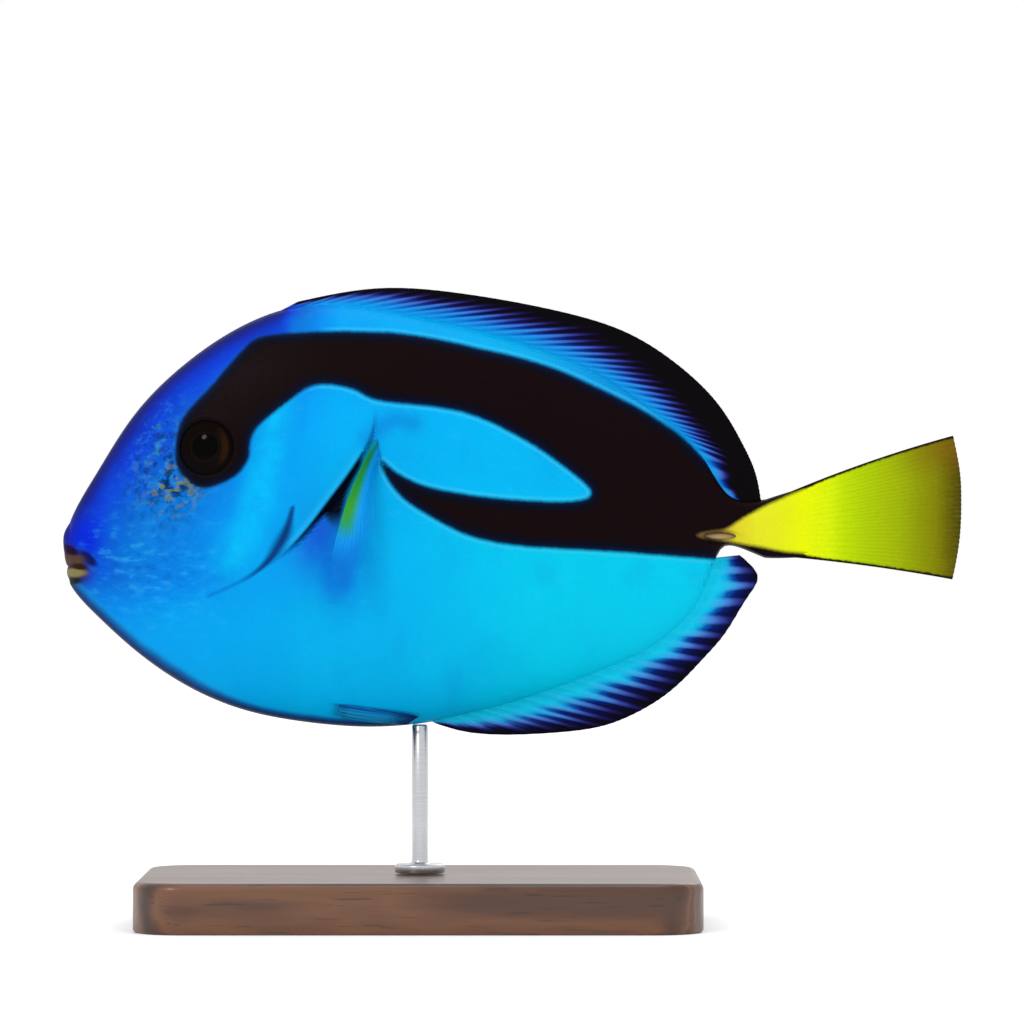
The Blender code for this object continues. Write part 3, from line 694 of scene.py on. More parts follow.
# Closed ring grid: left side, one round row along the crown, right side, one along the belly.
# The two sides share their front line and their thin rear line, and the relief moves each
# point outward.
def makeSkin(paint):
    shares = shareRows(skin["rows"])
    front = spline(shares, snoutEdge)
    gillBack = spline(shares, gillLine)
    headPart = np.linspace(0.0, 1.0, skin["headColumns"]) ** skin["headSpread"]
    bodyPart = np.linspace(0.0, 1.0, skin["bodyColumns"]) ** skin["bodySpread"]
    head = front + (gillBack - skin["gillStep"] - front) * headPart[:, None]
    bodyFront = gillBack + skin["gillStep"]
    body = bodyFront + (skin["end"] - bodyFront) * bodyPart[:, None]
    back = np.concatenate([head, body])
    height = heightOf(back, shares[None, :])
    points, normals = skinGrid(back, height)
    normals[0, :, 1] = 0.0
    normals[0] /= np.linalg.norm(normals[0], axis=1, keepdims=True)
    left = points + normals * relief(back, height)[:, :, None]
    left[0, :, 1] = 0.0
    left[-1, :, 1] = 0.0
    columns, rows = back.shape
    top = left[:, -1] * (1.0, 0.0, 1.0)
    top[:, 2] += skin["crownRound"] * np.abs(left[:, -1, 1]) / fish["ridgeHalf"]
    low = left[:, 0] * (1.0, 0.0, 1.0)
    low[:, 2] -= skin["crownRound"] * np.abs(left[:, 0, 1]) / fish["ridgeHalf"]
    right = left[:, ::-1] * (1.0, -1.0, 1.0)
    ring = np.concatenate([left, top[:, None], right, low[:, None]], axis=1)
    around = ring.shape[1]
    numbers = np.arange(columns * around).reshape(columns, around)
    for end in (0, columns - 1):
        numbers[end, rows + 1:2 * rows + 1] = numbers[end, :rows][::-1]
    here = numbers
    there = np.roll(numbers, -1, axis=1)
    quads = np.stack([here[:-1], here[1:], there[1:], there[:-1]], axis=-1).reshape(-1, 4)
    fields = markingsAt(ring[:, :, 0], ring[:, :, 2])
    flesh = ("head", "torso", "tail_stalk")
    return closeAndMake("skin", ring.reshape(-1, 3), quads, fields, paint, flesh)


# Drops unused points and repeated corners, then makes the mesh.
def closeAndMake(name, points, quads, fields, paint, replaced):
    used, packed = np.unique(quads, return_inverse=True)
    quads = packed.reshape(-1, 4)
    same = quads == np.roll(quads, -1, axis=1)
    whole = ~same.any(axis=1)
    triangles = [tuple(dict.fromkeys(row)) for row in quads[~whole].tolist()]
    triangles = [row for row in triangles if len(row) == 3]
    fields = {key: values.reshape(-1)[used] for key, values in fields.items()}
    return makeMesh(name, place(points[used]), quads[whole], triangles, fields, paint, replaced)


scales = {
    "spacing": 0.72,
    "across": 0.8,
    "reach": 0.62,
    "halfWidth": 0.43,
    "rise": 0.024,
    "rear": 0.015,
    "sink": 0.035,
    "start": 6.0,
    "end": 138.5,
    "patch": 0.0013,
    "margin": 1.1,
    "steps": 400,
    "stray": 0.07,
    "sizeStray": 0.12,
    "frontSize": 0.72,
    "growth": (10.0, 60.0),
    "mapEdge": 0.02,
    "mapLength": 0.46,
    "mapHeight": 0.96,
}

# Places without scales, in millimetres: round the eye, round the nostrils' middle, beside the
# blade, up to the mouth's back and over its half height, beside the crease and the wedge, and
# over the slit by a least half width and a share of its own, between two shares of the height.
bare = {
    "eye": 6.9,
    "nostrils": (21.5, 57.5, 2.3),
    "groove": 1.3,
    "mouth": (8.5, 5.0),
    "slit": (0.35, 0.55),
    "slitSpan": (0.24, 0.86),
    "crease": 0.6,
    "wedge": 0.3,
}


# Places of the scales on one side: on lines of equal back, points at even steps of the curve
# from belly to crown, every second line shifted half a step, each a little astray.
def scaleSpots():
    lines = np.arange(scales["start"], scales["end"], scales["spacing"])
    fine = 0.5 - 0.5 * np.cos(np.linspace(0.0, np.pi, scales["steps"]))
    backs, heights = [], []
    for index, back in enumerate(lines):
        height = heightOf(np.full(scales["steps"], back), fine)
        width = halfWidth(np.full(scales["steps"], back), height)
        arc = np.concatenate([[0.0], np.cumsum(np.hypot(np.diff(height), np.diff(width)))])
        first = scales["margin"] + 0.5 * scales["across"] * (index % 2)
        steps = np.arange(first, arc[-1] - scales["margin"], scales["across"])
        spots = np.interp(steps, arc, height)
        heights.append(spots)
        backs.append(np.full(len(spots), back))
    back = np.concatenate(backs)
    height = np.concatenate(heights)
    back = back + rng.uniform(-scales["stray"], scales["stray"], len(back))
    height = height + rng.uniform(-scales["stray"], scales["stray"], len(back))
    return back, height


# Whether a scale lies at a point, outside all the bare places.
def isScaled(back, height):
    keep = eyeDistance(back, height) > bare["eye"]
    keep &= grooveDistance(back, height) > bare["groove"]
    mouthBack, mouthHalf = bare["mouth"]
    keep &= ~((back < mouthBack) & (np.abs(height - mouth["height"]) < mouthHalf))
    share = shareOf(back, height)
    slitWidth = spline(share, gill["slit"])
    least, growth = bare["slit"]
    inSlit = np.abs(gillDistance(back, height) - 0.5 * slitWidth) < least + growth * slitWidth
    low, high = bare["slitSpan"]
    keep &= ~(inSlit & (share > low) & (share < high))
    keep &= lineDistance(back, height, creaseCurve) > bare["crease"] + creaseHalf(height)
    nostrilBack, nostrilHeight, room = bare["nostrils"]
    keep &= np.hypot(back - nostrilBack, height - nostrilHeight) > room
    keep &= distanceTo(np.stack([back, height], axis=1), wedgeCurve) < -bare["wedge"]
    return keep


# Small scales over one side. Each is a six-sided plate with a raised middle and a rear edge
# that stands a little proud, closed by a flat underside.
def makeScales(name, side, paint):
    back, height = scaleSpots()
    keep = isScaled(back, height)
    back, height = back[keep], height[keep]
    point, normal = skinAt(back, height)
    rearward = np.array([1.0, 0.0, 0.0]) - normal * normal[:, :1]
    rearward /= np.linalg.norm(rearward, axis=1, keepdims=True)
    upward = np.cross(rearward, normal)
    upward *= np.sign(upward[:, 2:3])
    point = point + normal * relief(back, height)[:, None]
    size = 1.0 + rng.uniform(-scales["sizeStray"], scales["sizeStray"], len(back))
    size *= scales["frontSize"] + (1.0 - scales["frontSize"]) * softStep(back, *scales["growth"])
    angle = np.arange(6) * np.pi / 3.0
    out = np.cos(angle)[None, :, None]
    wide = np.sin(angle)[None, :, None]
    lift = np.where(out > 0.0, scales["rear"] * out, scales["sink"] * out)
    flat = rearward[:, None] * scales["reach"] * out + upward[:, None] * scales["halfWidth"] * wide
    corners = point[:, None] + flat * size[:, None, None] + normal[:, None] * lift
    middle = point + normal * scales["rise"] * size[:, None]
    under = point - normal * scales["sink"]
    every = np.concatenate([middle[:, None], corners, under[:, None]], axis=1)
    every = onSide(every, side)
    first = np.arange(len(back))[:, None, None] * 8
    ringed = np.arange(6)
    topFaces = np.stack([np.zeros(6, int), 1 + ringed, 1 + (ringed + 1) % 6], axis=1)
    lowFaces = np.stack([np.full(6, 7), 1 + (ringed + 1) % 6, 1 + ringed], axis=1)
    pattern = np.concatenate([topFaces, lowFaces])
    facing = np.cross(every[0, 1] - every[0, 0], every[0, 2] - every[0, 0])
    if np.dot(facing, onSide(normal[0], side)) < 0.0:
        pattern = pattern[:, ::-1]
    faces = (first + pattern[None]).reshape(-1, 3)
    fields = markingsAt(every[:, :, 0], every[:, :, 2])
    piece = makeMesh(name, place(every), np.zeros((0, 4), int), faces.tolist(), fields, paint, ())
    sharpenRims(piece)
    unwrapScales(piece, faces, back, height, side)
    return piece


# Rim edges join two of a scale's six corners. They are marked sharp, so that the underside
# doesn't bend the light on the top.
def sharpenRims(piece):
    ends = np.empty(2 * len(piece.data.edges), np.int32)
    piece.data.edges.foreach_get("vertices", ends)
    corner = ends.reshape(-1, 2) % 8
    rim = (corner > 0).all(axis=1) & (corner < 7).all(axis=1)
    layer = piece.data.attributes.new("sharp_edge", "BOOLEAN", "EDGE")
    layer.data.foreach_set("value", rim)


# Bake map: each scale is a small patch at its root's place on the skin's own unwrap, which
# is back along one axis and the share of the way from belly to crown along the other.
def unwrapScales(piece, faces, back, height, side):
    along = scales["mapEdge"] + scales["mapLength"] * back / fish["stalkEnd"]
    up = scales["mapEdge"] + scales["mapHeight"] * shareOf(back, height)
    centre = np.stack([along + (0.5 if side > 0 else 0.0), up], axis=1)
    offset = np.zeros((8, 2))
    angle = np.arange(6) * np.pi / 3.0
    offset[1:7] = np.stack([np.cos(angle), np.sin(angle)], axis=1) * scales["patch"]
    corners = (centre[:, None] + offset[None]).reshape(-1, 2)
    layer = piece.data.uv_layers.new(name="OFBake")
    layer.data.foreach_set("uv", corners[faces.reshape(-1)].astype(np.float32).ravel())


# Sharpness of whole and of forked rays, the reach before and after the fork in which one
# turns into the other, the forked rays' height, how much the ridges fade outward, how round
# the margin is and how even the rows lie.
rays = {
    "whole": 2.4, "forked": 1.8, "before": 0.12, "after": 0.2, "height": 0.8,
    "fade": 0.55, "round": 0.96, "evenness": 0.6,
}


# Ray pattern over a fin: one rounded ridge a ray near the root, which forks into two.
def rayRidge(place, reach, count, fork):
    turn = 2.0 * np.pi * place * (count - 1.0)
    single = (0.5 + 0.5 * np.cos(turn)) ** rays["whole"]
    double = (0.5 - 0.5 * np.cos(2.0 * turn)) ** rays["forked"]
    split = softStep(reach, fork - rays["before"], fork + rays["after"])
    return single * (1.0 - split) + rays["height"] * double * split


# Closed fin: its middle sheet thickened both ways, with thin walls round the four edges.
def makeFin(name, middle, normals, half, fields, paint, replaced):
    near = middle + normals * half[:, :, None]
    far = middle - normals * half[:, :, None]
    columns, rows = half.shape
    total = columns * rows
    quads = [gridQuads(columns, rows), gridQuads(columns, rows, total, flip=True)]
    numbers = np.arange(total).reshape(columns, rows)
    rim = np.concatenate([numbers[:, 0], numbers[-1, 1:], numbers[-2::-1, -1], numbers[0, -2:0:-1]])
    after = np.roll(rim, -1)
    quads.append(np.stack([after, rim, total + rim, total + after], axis=1))
    points = np.concatenate([near.reshape(-1, 3), far.reshape(-1, 3)])
    quads = np.concatenate(quads)
    inside = np.cross(near[1:, :-1] - near[:-1, :-1], near[:-1, 1:] - near[:-1, :-1])
    if np.einsum("ijk,ijk->", inside, normals[:-1, :-1]) < 0.0:
        quads = quads[:, ::-1]
    fields = {key: np.tile(values.ravel(), 2) for key, values in fields.items()}
    return makeMesh(name, place(points), quads, [], fields, paint, replaced)


# Reaches from inside the body to the margin, closer together at both ends.
def reachRows(rows, start):
    even = np.linspace(0.0, 1.0, rows)
    waved = 0.5 - 0.5 * np.cos(np.pi * even)
    mixed = rays["evenness"] * even + (1.0 - rays["evenness"]) * waved
    return start + (1.0 - start) * mixed


# Half thickness: a sheet that thins to the margin, ray ridges that fade outward, and a fleshy
# root; the last part rounds off as a quarter circle.
def finHalf(ridge, reach, form, rootHalf):
    sheet = form["sheet"] + (form["margin"] - form["sheet"]) * np.clip(reach, 0.0, 1.0)
    ridges = form["ray"] * ridge * (1.0 - rays["fade"] * np.clip(reach, 0.0, 1.0))
    flesh = np.clip(1.0 - np.clip(reach, 0.0, 1.0) / form["flesh"], 0.0, 1.0) ** 2
    edge = np.clip((reach - form["round"]) / (1.0 - form["round"]), 0.0, 1.0)
    half = sheet + ridges + np.maximum(rootHalf - sheet, 0.0) * flesh
    return half * np.sqrt(1.0 - rays["round"] * edge**2)


# Random offset for each ray, eased from one ray to the next.
def rayJitter(place, count, size, seed):
    draws = np.random.default_rng(seed).uniform(-1.0, 1.0, 2 * count)
    return size * np.interp(place * (2 * count - 1.0), np.arange(2 * count), draws)


# Grid of a fin: where its columns lie across the rays, its rows from inside the body to the
# margin, and its ray pattern.
def finGrid(form):
    along = np.linspace(0.0, 1.0, (form["count"] - 1) * form["perRay"] + 1)
    reach = reachRows(form["rows"], form["start"])
    grid = np.broadcast_to(reach, (len(along), form["rows"]))
    return along, reach, grid, rayRidge(along[:, None], grid, form["count"], form["fork"])


# Reach, drawn in between the ray tips so that the margin is scalloped.
def scalloped(form, grid, ridge, length):
    return grid - form["scallop"] * (1.0 - ridge) * softStep(grid, 0.8, 1.0) / length


# Share of the thickness across a fin: least at its two sides, whole between them.
def sideShare(along, power, least):
    share = np.sqrt(np.clip(1.0 - np.abs(2.0 * along - 1.0) ** power, 0.0, 1.0))
    return (least + (1.0 - least) * share)[:, None]


# thickness and rays that the dorsal and anal fins share
upright = {
    "sheet": 0.26, "margin": 0.2, "ray": 0.24, "flesh": 0.2, "round": 0.93, "rootHalf": 0.9,
    "fork": 0.55, "start": -0.22, "rootDepth": 1.6, "wave": 0.35, "waves": 17.0, "scallop": 0.08,
    "jitter": 0.13, "endSlope": 6.0, "endLeast": 0.25,
}

# the place along the fin of some rays, their root's back, their tip's back and height, and
# how far out the blue reaches
dorsal = {
    **upright,
    "name": "dorsal_fin_fine", "node": "dorsal_fin", "count": 38, "perRay": 10, "rows": 56,
    "rays": np.array([
        (0.0, 42.4, 47.0, 86.5), (0.093, 52.4, 63.6, 89.2), (0.183, 62.4, 80.0, 88.1),
        (0.292, 74.4, 97.4, 85.0), (0.392, 86.8, 111.0, 81.1), (0.503, 99.6, 121.8, 74.8),
        (0.629, 110.6, 130.0, 67.3), (0.803, 121.4, 136.1, 57.8), (0.933, 128.4, 138.9, 50.9),
        (1.0, 136.0, 139.7, 46.4),
    ]),
    "blue": np.array([
        (0.0, 0.6), (0.093, 0.6), (0.183, 0.6), (0.292, 0.56), (0.392, 0.52), (0.503, 0.48),
        (0.629, 0.42), (0.803, 0.4), (0.933, 0.34), (1.0, 0.12),
    ]),
}

anal = {
    **upright,
    "name": "anal_fin_fine", "node": "anal_fin", "count": 22, "perRay": 13, "rows": 52,
    "rays": np.array([
        (0.0, 73.4, 74.8, 2.0), (0.05, 76.0, 80.6, 0.4), (0.16, 82.0, 96.4, 0.1),
        (0.345, 92.8, 111.4, 2.7), (0.455, 101.0, 117.6, 5.8), (0.58, 109.6, 123.7, 10.5),
        (0.685, 117.2, 128.7, 15.7), (0.79, 123.2, 133.2, 21.2), (0.87, 127.2, 137.0, 27.4),
        (0.94, 129.4, 138.9, 31.9), (1.0, 130.5, 135.4, 35.8),
    ]),
    "blue": np.array([(0.0, 0.5), (0.16, 0.66), (0.4, 0.72), (0.7, 0.74), (0.87, 0.84), (1.0, 0.7)]),
}


# Fin in the middle plane: straight rays from the body's edge to a margin through the ray
# tips, with a slight wave across that grows outward.
def makeUprightFin(form, edge, seed, paint):
    along, _, grid, ridge = finGrid(form)
    rootBack, tipBack, tipHeight = (spline(along, form["rays"], column) for column in (1, 2, 3))
    root = np.stack([rootBack, np.zeros_like(along), edge(rootBack)], axis=1)
    tip = np.stack([tipBack, np.zeros_like(along), tipHeight], axis=1)
    length = np.linalg.norm(tip - root, axis=1)
    share = scalloped(form, grid, ridge, np.maximum(length, 1.5)[:, None])
    depth = form["rootDepth"] / (-form["start"] * np.maximum(length, 1.0))
    share = np.where(share < 0.0, share * np.clip(depth, None, 1.0)[:, None], share)
    middle = root[:, None] + (tip - root)[:, None] * share[:, :, None]
    wave = form["wave"] * np.sin(along * form["waves"] + 1.0)[:, None] * np.clip(share, 0.0, 1.0) ** 2
    middle[:, :, 1] += wave * np.sin(np.pi * along)[:, None]
    ends = np.sqrt(np.clip(np.sin(np.pi * along) * form["endSlope"], 0.0, 1.0))[:, None]
    ends = form["endLeast"] + (1.0 - form["endLeast"]) * ends
    half = finHalf(ridge, grid, form, form["rootHalf"]) * ends
    jitter = rayJitter(along, form["count"], form["jitter"], seed)
    line = 0.5 + 0.5 * np.cos(2.0 * np.pi * along * (form["count"] - 1.0))[:, None]
    fields = {
        "front": markingsAt(middle[:, :, 0], middle[:, :, 2])["front"],
        "band": grid / spline(along, form["blue"])[:, None] + jitter[:, None],
        "line": np.broadcast_to(line, grid.shape),
        "reach": grid,
        "along": np.broadcast_to(along[:, None], grid.shape),
    }
    flat = np.broadcast_to([0.0, -1.0, 0.0], middle.shape)
    return makeFin(form["name"], middle, flat, half, fields, paint, (form["node"],))


tail = {
    "name": "tail_fin_fine", "node": "tail_fin", "count": 16, "perRay": 20, "rows": 84,
    "margin": np.array([
        (0.0, 178.1, 59.7), (0.2, 179.3, 53.6), (0.45, 179.7, 46.8), (0.7, 179.5, 39.8), (1.0, 177.9, 30.9),
    ]),
    "bow": (0.8, 0.5), "inset": 0.3, "fullness": 0.86, "sides": (30, 0.2),
    "form": {"sheet": 0.28, "margin": 0.2, "ray": 0.13, "flesh": 0.26, "round": 0.965},
    "fork": 0.36, "start": -0.02, "wave": 0.5, "waves": 11.0, "scallop": 0.08, "length": 38.0,
}


# Tail fin: rays spread as a fan from the stalk's end to the margin, bowed a little.
def makeTailFin(paint):
    along, _, grid, ridge = finGrid(tail)
    high = crown(fish["stalkEnd"]) - tail["inset"]
    low = belly(fish["stalkEnd"]) + tail["inset"]
    rootBack = np.full_like(along, fish["stalkEnd"])
    root = np.stack([rootBack, np.zeros_like(along), high + (low - high) * along], axis=1)
    tipBack, tipHeight = (spline(along, tail["margin"], column) for column in (1, 2))
    tip = np.stack([tipBack, np.zeros_like(along), tipHeight], axis=1)
    share = scalloped(tail, grid, ridge, tail["length"])
    middle = root[:, None] + (tip - root)[:, None] * share[:, :, None]
    bow = tail["bow"][0] + (tail["bow"][1] - tail["bow"][0]) * along
    middle[:, :, 2] += bow[:, None] * 4.0 * np.clip(share, 0.0, 1.0) * (1.0 - share)
    wave = tail["wave"] * np.sin(along * tail["waves"] + 0.6)[:, None]
    middle[:, :, 1] += wave * np.clip(share, 0.0, 1.0) ** 2
    rootHalf = tail["fullness"] * halfWidth(root[:, 0], root[:, 2])[:, None]
    half = finHalf(ridge, grid, tail["form"], rootHalf) * sideShare(along, *tail["sides"])
    spread = np.linalg.norm(middle - middle[:1], axis=2)
    other = np.linalg.norm(middle - middle[-1:], axis=2)
    fields = {
        "ray": ridge, "reach": grid, "along": np.broadcast_to(along[:, None], grid.shape),
        "edge": np.minimum(spread, other),
    }
    flat = np.broadcast_to([0.0, -1.0, 0.0], middle.shape)
    return makeFin(tail["name"], middle, flat, half, fields, paint, (tail["node"],))


pectoral = {
    "count": 14, "perRay": 14, "rows": 64,
    "root": ((62.1, 57.4), (63.3, 53.9)),
    "margin": np.array([
        (0.0, 53.6, 26.6, -23.6), (0.25, 57.0, 26.2, -23.0), (0.6, 62.6, 28.0, -21.4),
        (1.0, 66.6, 31.2, -19.4),
    ]),
    "flare": 1.7, "bow": 1.9, "rootHalf": 0.75, "rootRise": 0.45, "wave": 0.35, "waves": 5.0,
    "leadRise": 0.22, "leadHalf": 0.05, "sides": (40, 0.3),
    "form": {"sheet": 0.2, "margin": 0.14, "ray": 0.16, "flesh": 0.16, "round": 0.95},
    "fork": 0.5, "start": -0.05, "scallop": 0.1,
}


# Pectoral fin: from a short root line behind the gill cover, each ray runs out to the margin
# and away from the flank by a power of its reach.
def makePectoral(name, node, side, paint):
    form = pectoral
    along, _, grid, ridge = finGrid(form)
    (backA, heightA), (backB, heightB) = form["root"]
    root, normal = skinAt(backA + (backB - backA) * along, heightA + (heightB - heightA) * along)
    root = root + normal * form["rootRise"]
    tip = np.stack([spline(along, form["margin"], column) for column in (1, 3, 2)], axis=1)
    share = scalloped(form, grid, ridge, np.linalg.norm(tip - root, axis=1)[:, None])
    middle = root[:, None] + (tip - root)[:, None] * share[:, :, None]
    out = np.where(share < 0.0, 3.0 * share, 1.0 - np.clip(1.0 - share, 0.0, None) ** form["flare"])
    middle[:, :, 1] = root[:, None, 1] + (tip - root)[:, None, 1] * out
    middle[:, :, 0] -= form["bow"] * 4.0 * np.clip(share, 0.0, 1.0) * (1.0 - share)
    wave = form["wave"] * np.sin(np.pi * form["waves"] * along) * np.sin(np.pi * along)
    middle[:, :, 1] -= wave[:, None] * np.clip(share, 0.0, 1.0) ** 2
    lead = form["leadRise"] * bell(along, 0.0, form["leadHalf"])[:, None]
    half = finHalf(ridge, grid, form["form"], form["rootHalf"])
    half = half + lead * (1.0 - 0.7 * np.clip(grid, 0.0, 1.0))
    half = half * sideShare(along, *form["sides"])
    fields = {"ray": ridge, "reach": grid, "along": np.broadcast_to(along[:, None], grid.shape)}
    middle, normals = onSide(middle, side), onSide(gridNormals(middle), side)
    return makeFin(name, middle, normals, half, fields, paint, (node,))


pelvic = {
    "count": 5, "perRay": 14, "rows": 60,
    "ends": ((51.6, 6.8, 4.9), (71.2, 4.4, 2.9)),
    "flare": 0.7, "slant": 2.4, "swell": 0.7, "clear": 0.42, "rootHalf": 0.55,
    "form": {"sheet": 0.2, "margin": 0.14, "ray": 0.18, "flesh": 0.2, "round": 0.95},
    "fork": 0.5, "start": -0.06, "plunge": 12.0, "sides": (24, 0.25),
}


# Pelvic fin, folded back along the belly: its rays follow the body's surface, a little off it.
def makePelvic(name, node, side, paint):
    form = pelvic
    along, reach, grid, ridge = finGrid(form)
    thickness = sideShare(along, *form["sides"])
    along, reach = along[:, None], reach[None, :]
    (rootBack, rootHigh, rootLow), (tipBack, tipHigh, tipLow) = form["ends"]
    back = rootBack + (tipBack - form["slant"] * along - rootBack) * reach
    high = rootHigh + (tipHigh - rootHigh) * reach
    low = rootLow + (tipLow - rootLow) * reach - form["swell"] * np.sin(np.pi * np.clip(reach, 0.0, 1.0))
    height = high + (low - high) * along
    point, normal = skinAt(back, height)
    away = form["clear"] + form["flare"] * np.clip(reach, 0.0, 1.0) ** 2
    away = away + form["plunge"] * np.clip(reach, None, 0.0)
    middle = point + normal * away[:, :, None]
    half = finHalf(ridge, grid, form["form"], form["rootHalf"]) * thickness
    fields = {"ray": ridge, "reach": grid, "along": np.broadcast_to(along, grid.shape)}
    middle, normals = onSide(middle, side), onSide(normal, side)
    return makeFin(name, middle, normals, half, fields, paint, (node,))


# Faces between closed rings of numbered points.
def ringQuads(numbers):
    after = np.roll(numbers, -1, axis=1)
    return np.stack([numbers[:-1], after[:-1], after[1:], numbers[1:]], axis=-1).reshape(-1, 4)


# Rounded form on the body: rings of one turn about the outward direction, from pole to pole.
# The profile gives each ring's radius and its place along that direction.
def makeRounded(name, node, centre, outward, forward, profile, stretch, sides, paint):
    outward = outward / np.linalg.norm(outward)
    across = np.cross(outward, forward)
    across = across / np.linalg.norm(across)
    ahead = np.cross(across, outward)
    turn = np.linspace(0.0, 2.0 * np.pi, sides, endpoint=False)
    radius, rise = profile[:, 0][:, None, None], profile[:, 1][:, None, None]
    circle = ahead * stretch[0] * np.cos(turn)[:, None] + across * stretch[1] * np.sin(turn)[:, None]
    rings = centre + radius * circle[None] + rise * outward
    poles = centre + outward * profile[[-1, 0], 1][:, None]
    points = np.concatenate([rings.reshape(-1, 3), poles])
    levels = len(profile)
    numbers = np.arange(levels * sides).reshape(levels, sides)
    numbers[0], numbers[-1] = levels * sides + 1, levels * sides
    quads = ringQuads(numbers)
    if np.dot(np.cross(ahead, across), outward) < 0.0:
        quads = quads[:, ::-1]
    ring = np.concatenate([np.repeat(profile[:, 0], sides), [0.0, 0.0]])
    turned = np.concatenate([np.tile(turn, levels), [0.0, 0.0]])
    fields = {
        "ring": ring,
        "rise": np.concatenate([np.repeat(profile[:, 1], sides), profile[[-1, 0], 1]]),
        "turnX": np.cos(turned) * ring,
        "turnY": np.sin(turned) * ring,
    }
    return closeAndMake(name, points, quads, fields, paint, (node,) if node else ())


# Eye: an ellipsoid's profile with a small added dome over the pupil.
def makeEye(name, node, side, paint):
    point, normal = skinAt(np.array(eye["back"]), np.array(eye["height"]))
    turn = np.linspace(-0.5 * np.pi, 0.5 * np.pi, 49)
    radius = eye["radius"] * np.cos(turn)
    rise = eye["depth"] * np.sin(turn)
    rise = rise + eye["domeRise"] * bell(radius, 0.0, eye["domeHalf"]) * (turn > 0.0)
    profile = np.stack([radius, rise], axis=1)
    centre = onSide(point - normal * eye["sink"], side)
    outward, forward = onSide(normal, side), np.array([1.0, 0.0, 0.0])
    return makeRounded(name, node, centre, outward, forward, profile, (1.0, 1.0), 96, paint)


# Tail blade, folded in its groove: a lens drawn out along the stalk.
def makeBlade(name, node, side, paint):
    point, normal = skinAt(np.array(spine["back"]), np.array(spine["height"]))
    ahead, _ = skinAt(np.array(spine["back"] - 1.0), np.array(spine["height"]))
    turn = np.linspace(-0.5 * np.pi, 0.5 * np.pi, 21)
    profile = np.stack([np.cos(turn) ** 0.9, spine["thickness"] * np.sin(turn)], axis=1)
    centre = onSide(point - normal * spine["sink"], side)
    outward, forward = onSide(normal, side), onSide(point - ahead, side)
    stretch = (spine["length"], spine["halfHeight"])
    return makeRounded(name, node, centre, outward, forward, profile, stretch, 40, paint)


# Nostril: a low ring with a sunk middle.
def makeNostril(name, side, back, height, radius, paint):
    point, normal = skinAt(np.array(back), np.array(height))
    profile = nostrils["section"] * (radius, 1.0)
    centre, outward, forward = onSide(point, side), onSide(normal, side), np.array([1.0, 0.0, 0.0])
    return makeRounded(name, "", centre, outward, forward, profile, (1.0, 0.8), 28, paint)


tailColours = [
    (127.0, tint(140, 112, 66)), (131.5, tint(172, 142, 62)), (134.5, tint(226, 210, 46)),
    (138.5, tint(232, 230, 40)), (143.0, tint(230, 236, 30)), (148.0, tint(238, 249, 6)),
    (153.4, tint(218, 242, 6)), (156.0, tint(192, 226, 2)), (160.0, tint(180, 210, 1)),
    (167.0, tint(162, 182, 3)), (171.0, tint(144, 154, 2)), (174.4, tint(130, 131, 3)),
    (177.4, tint(98, 88, 2)), (179.6, tint(68, 58, 10)),
]

skinLook = {
    "value": 0.83,
    "drift": 55.0,
    "cloud": 260.0,
    "grain": 1500.0,
    "fleck": 640.0,
    "paleFleck": 560.0,
    "boldFleckSize": 430.0,
    "oliveSize": 520.0,
    "ripple": 400.0,
    "blotch": 130.0,
    "rearSpan": (-0.026, 0.012),
    # head colours by distance from its outline: the darkest stops at the outline are partly the head's own
    # deep blue and partly painted shade where the head turns away
    "front": [
        (0.0, tint(18, 24, 92)), (0.7, tint(20, 30, 118)), (1.6, tint(18, 36, 150)),
        (3.0, tint(10, 52, 196)), (5.0, tint(5, 66, 214)), (8.0, tint(5, 88, 212)),
        (12.0, tint(4, 106, 212)), (16.0, tint(3, 118, 216)), (20.0, tint(2, 126, 226)),
        (28.0, tint(1, 142, 236)), (38.0, tint(0, 162, 242)), (80.0, tint(0, 182, 242)),
    ],
    "rear": tint(0, 206, 240),
    "highRear": tint(10, 150, 226),
    # light cyan of the painted light on the cheek
    "cheekHighlight": tint(0, 194, 252),
    "snout": tint(0, 28, 216),
    "markRim": tint(58, 196, 236),
    "mark": [
        (-0.5, tint(4, 84, 140)), (-0.1, tint(2, 44, 88)), (0.3, tint(2, 22, 54)),
        (0.9, tint(3, 8, 30)), (1.6, tint(10, 5, 16)), (2.4, tint(18, 4, 7)),
    ],
    # the belly's dark edge, partly its own colour and partly painted shade
    "belly": [
        (0.0, tint(8, 36, 76)), (0.8, tint(12, 58, 116)), (1.6, tint(14, 92, 162)),
        (2.6, tint(10, 128, 200)), (3.6, tint(4, 156, 216)),
    ],
    # near black of the painted shadow in the gill slit and under the pectoral fin
    "slit": tint(1, 6, 28),
    # light cyan of the painted highlight on the gill cover's edge
    "coverEdgeHighlight": tint(40, 190, 250),
    # dark blue of the painted shade in the gill cover's crease
    "crease": tint(3, 50, 122),
    # blues of painted shade between the gill cover and the pectoral fin, under that fin, and over the gill
    # slit's top
    "patch": tint(22, 92, 224),
    "underFinShade": tint(4, 94, 210),
    "shade": tint(6, 128, 212),
    "speckDark": tint(5, 48, 112),
    "speckPale": tint(52, 140, 196),
    "boldFleck": tint(4, 34, 78),
    "olive": tint(122, 130, 58),
    "lips": tint(44, 40, 60),
    "lipTop": tint(30, 4, 40),
    "upperLip": tint(82, 62, 50),
    "lipBack": tint(4, 16, 92),
    "mouthLine": tint(48, 26, 2),
    "lowerLip": tint(132, 122, 80),
    # dark of the painted shade under the lower lip
    "chin": tint(12, 28, 30),
}


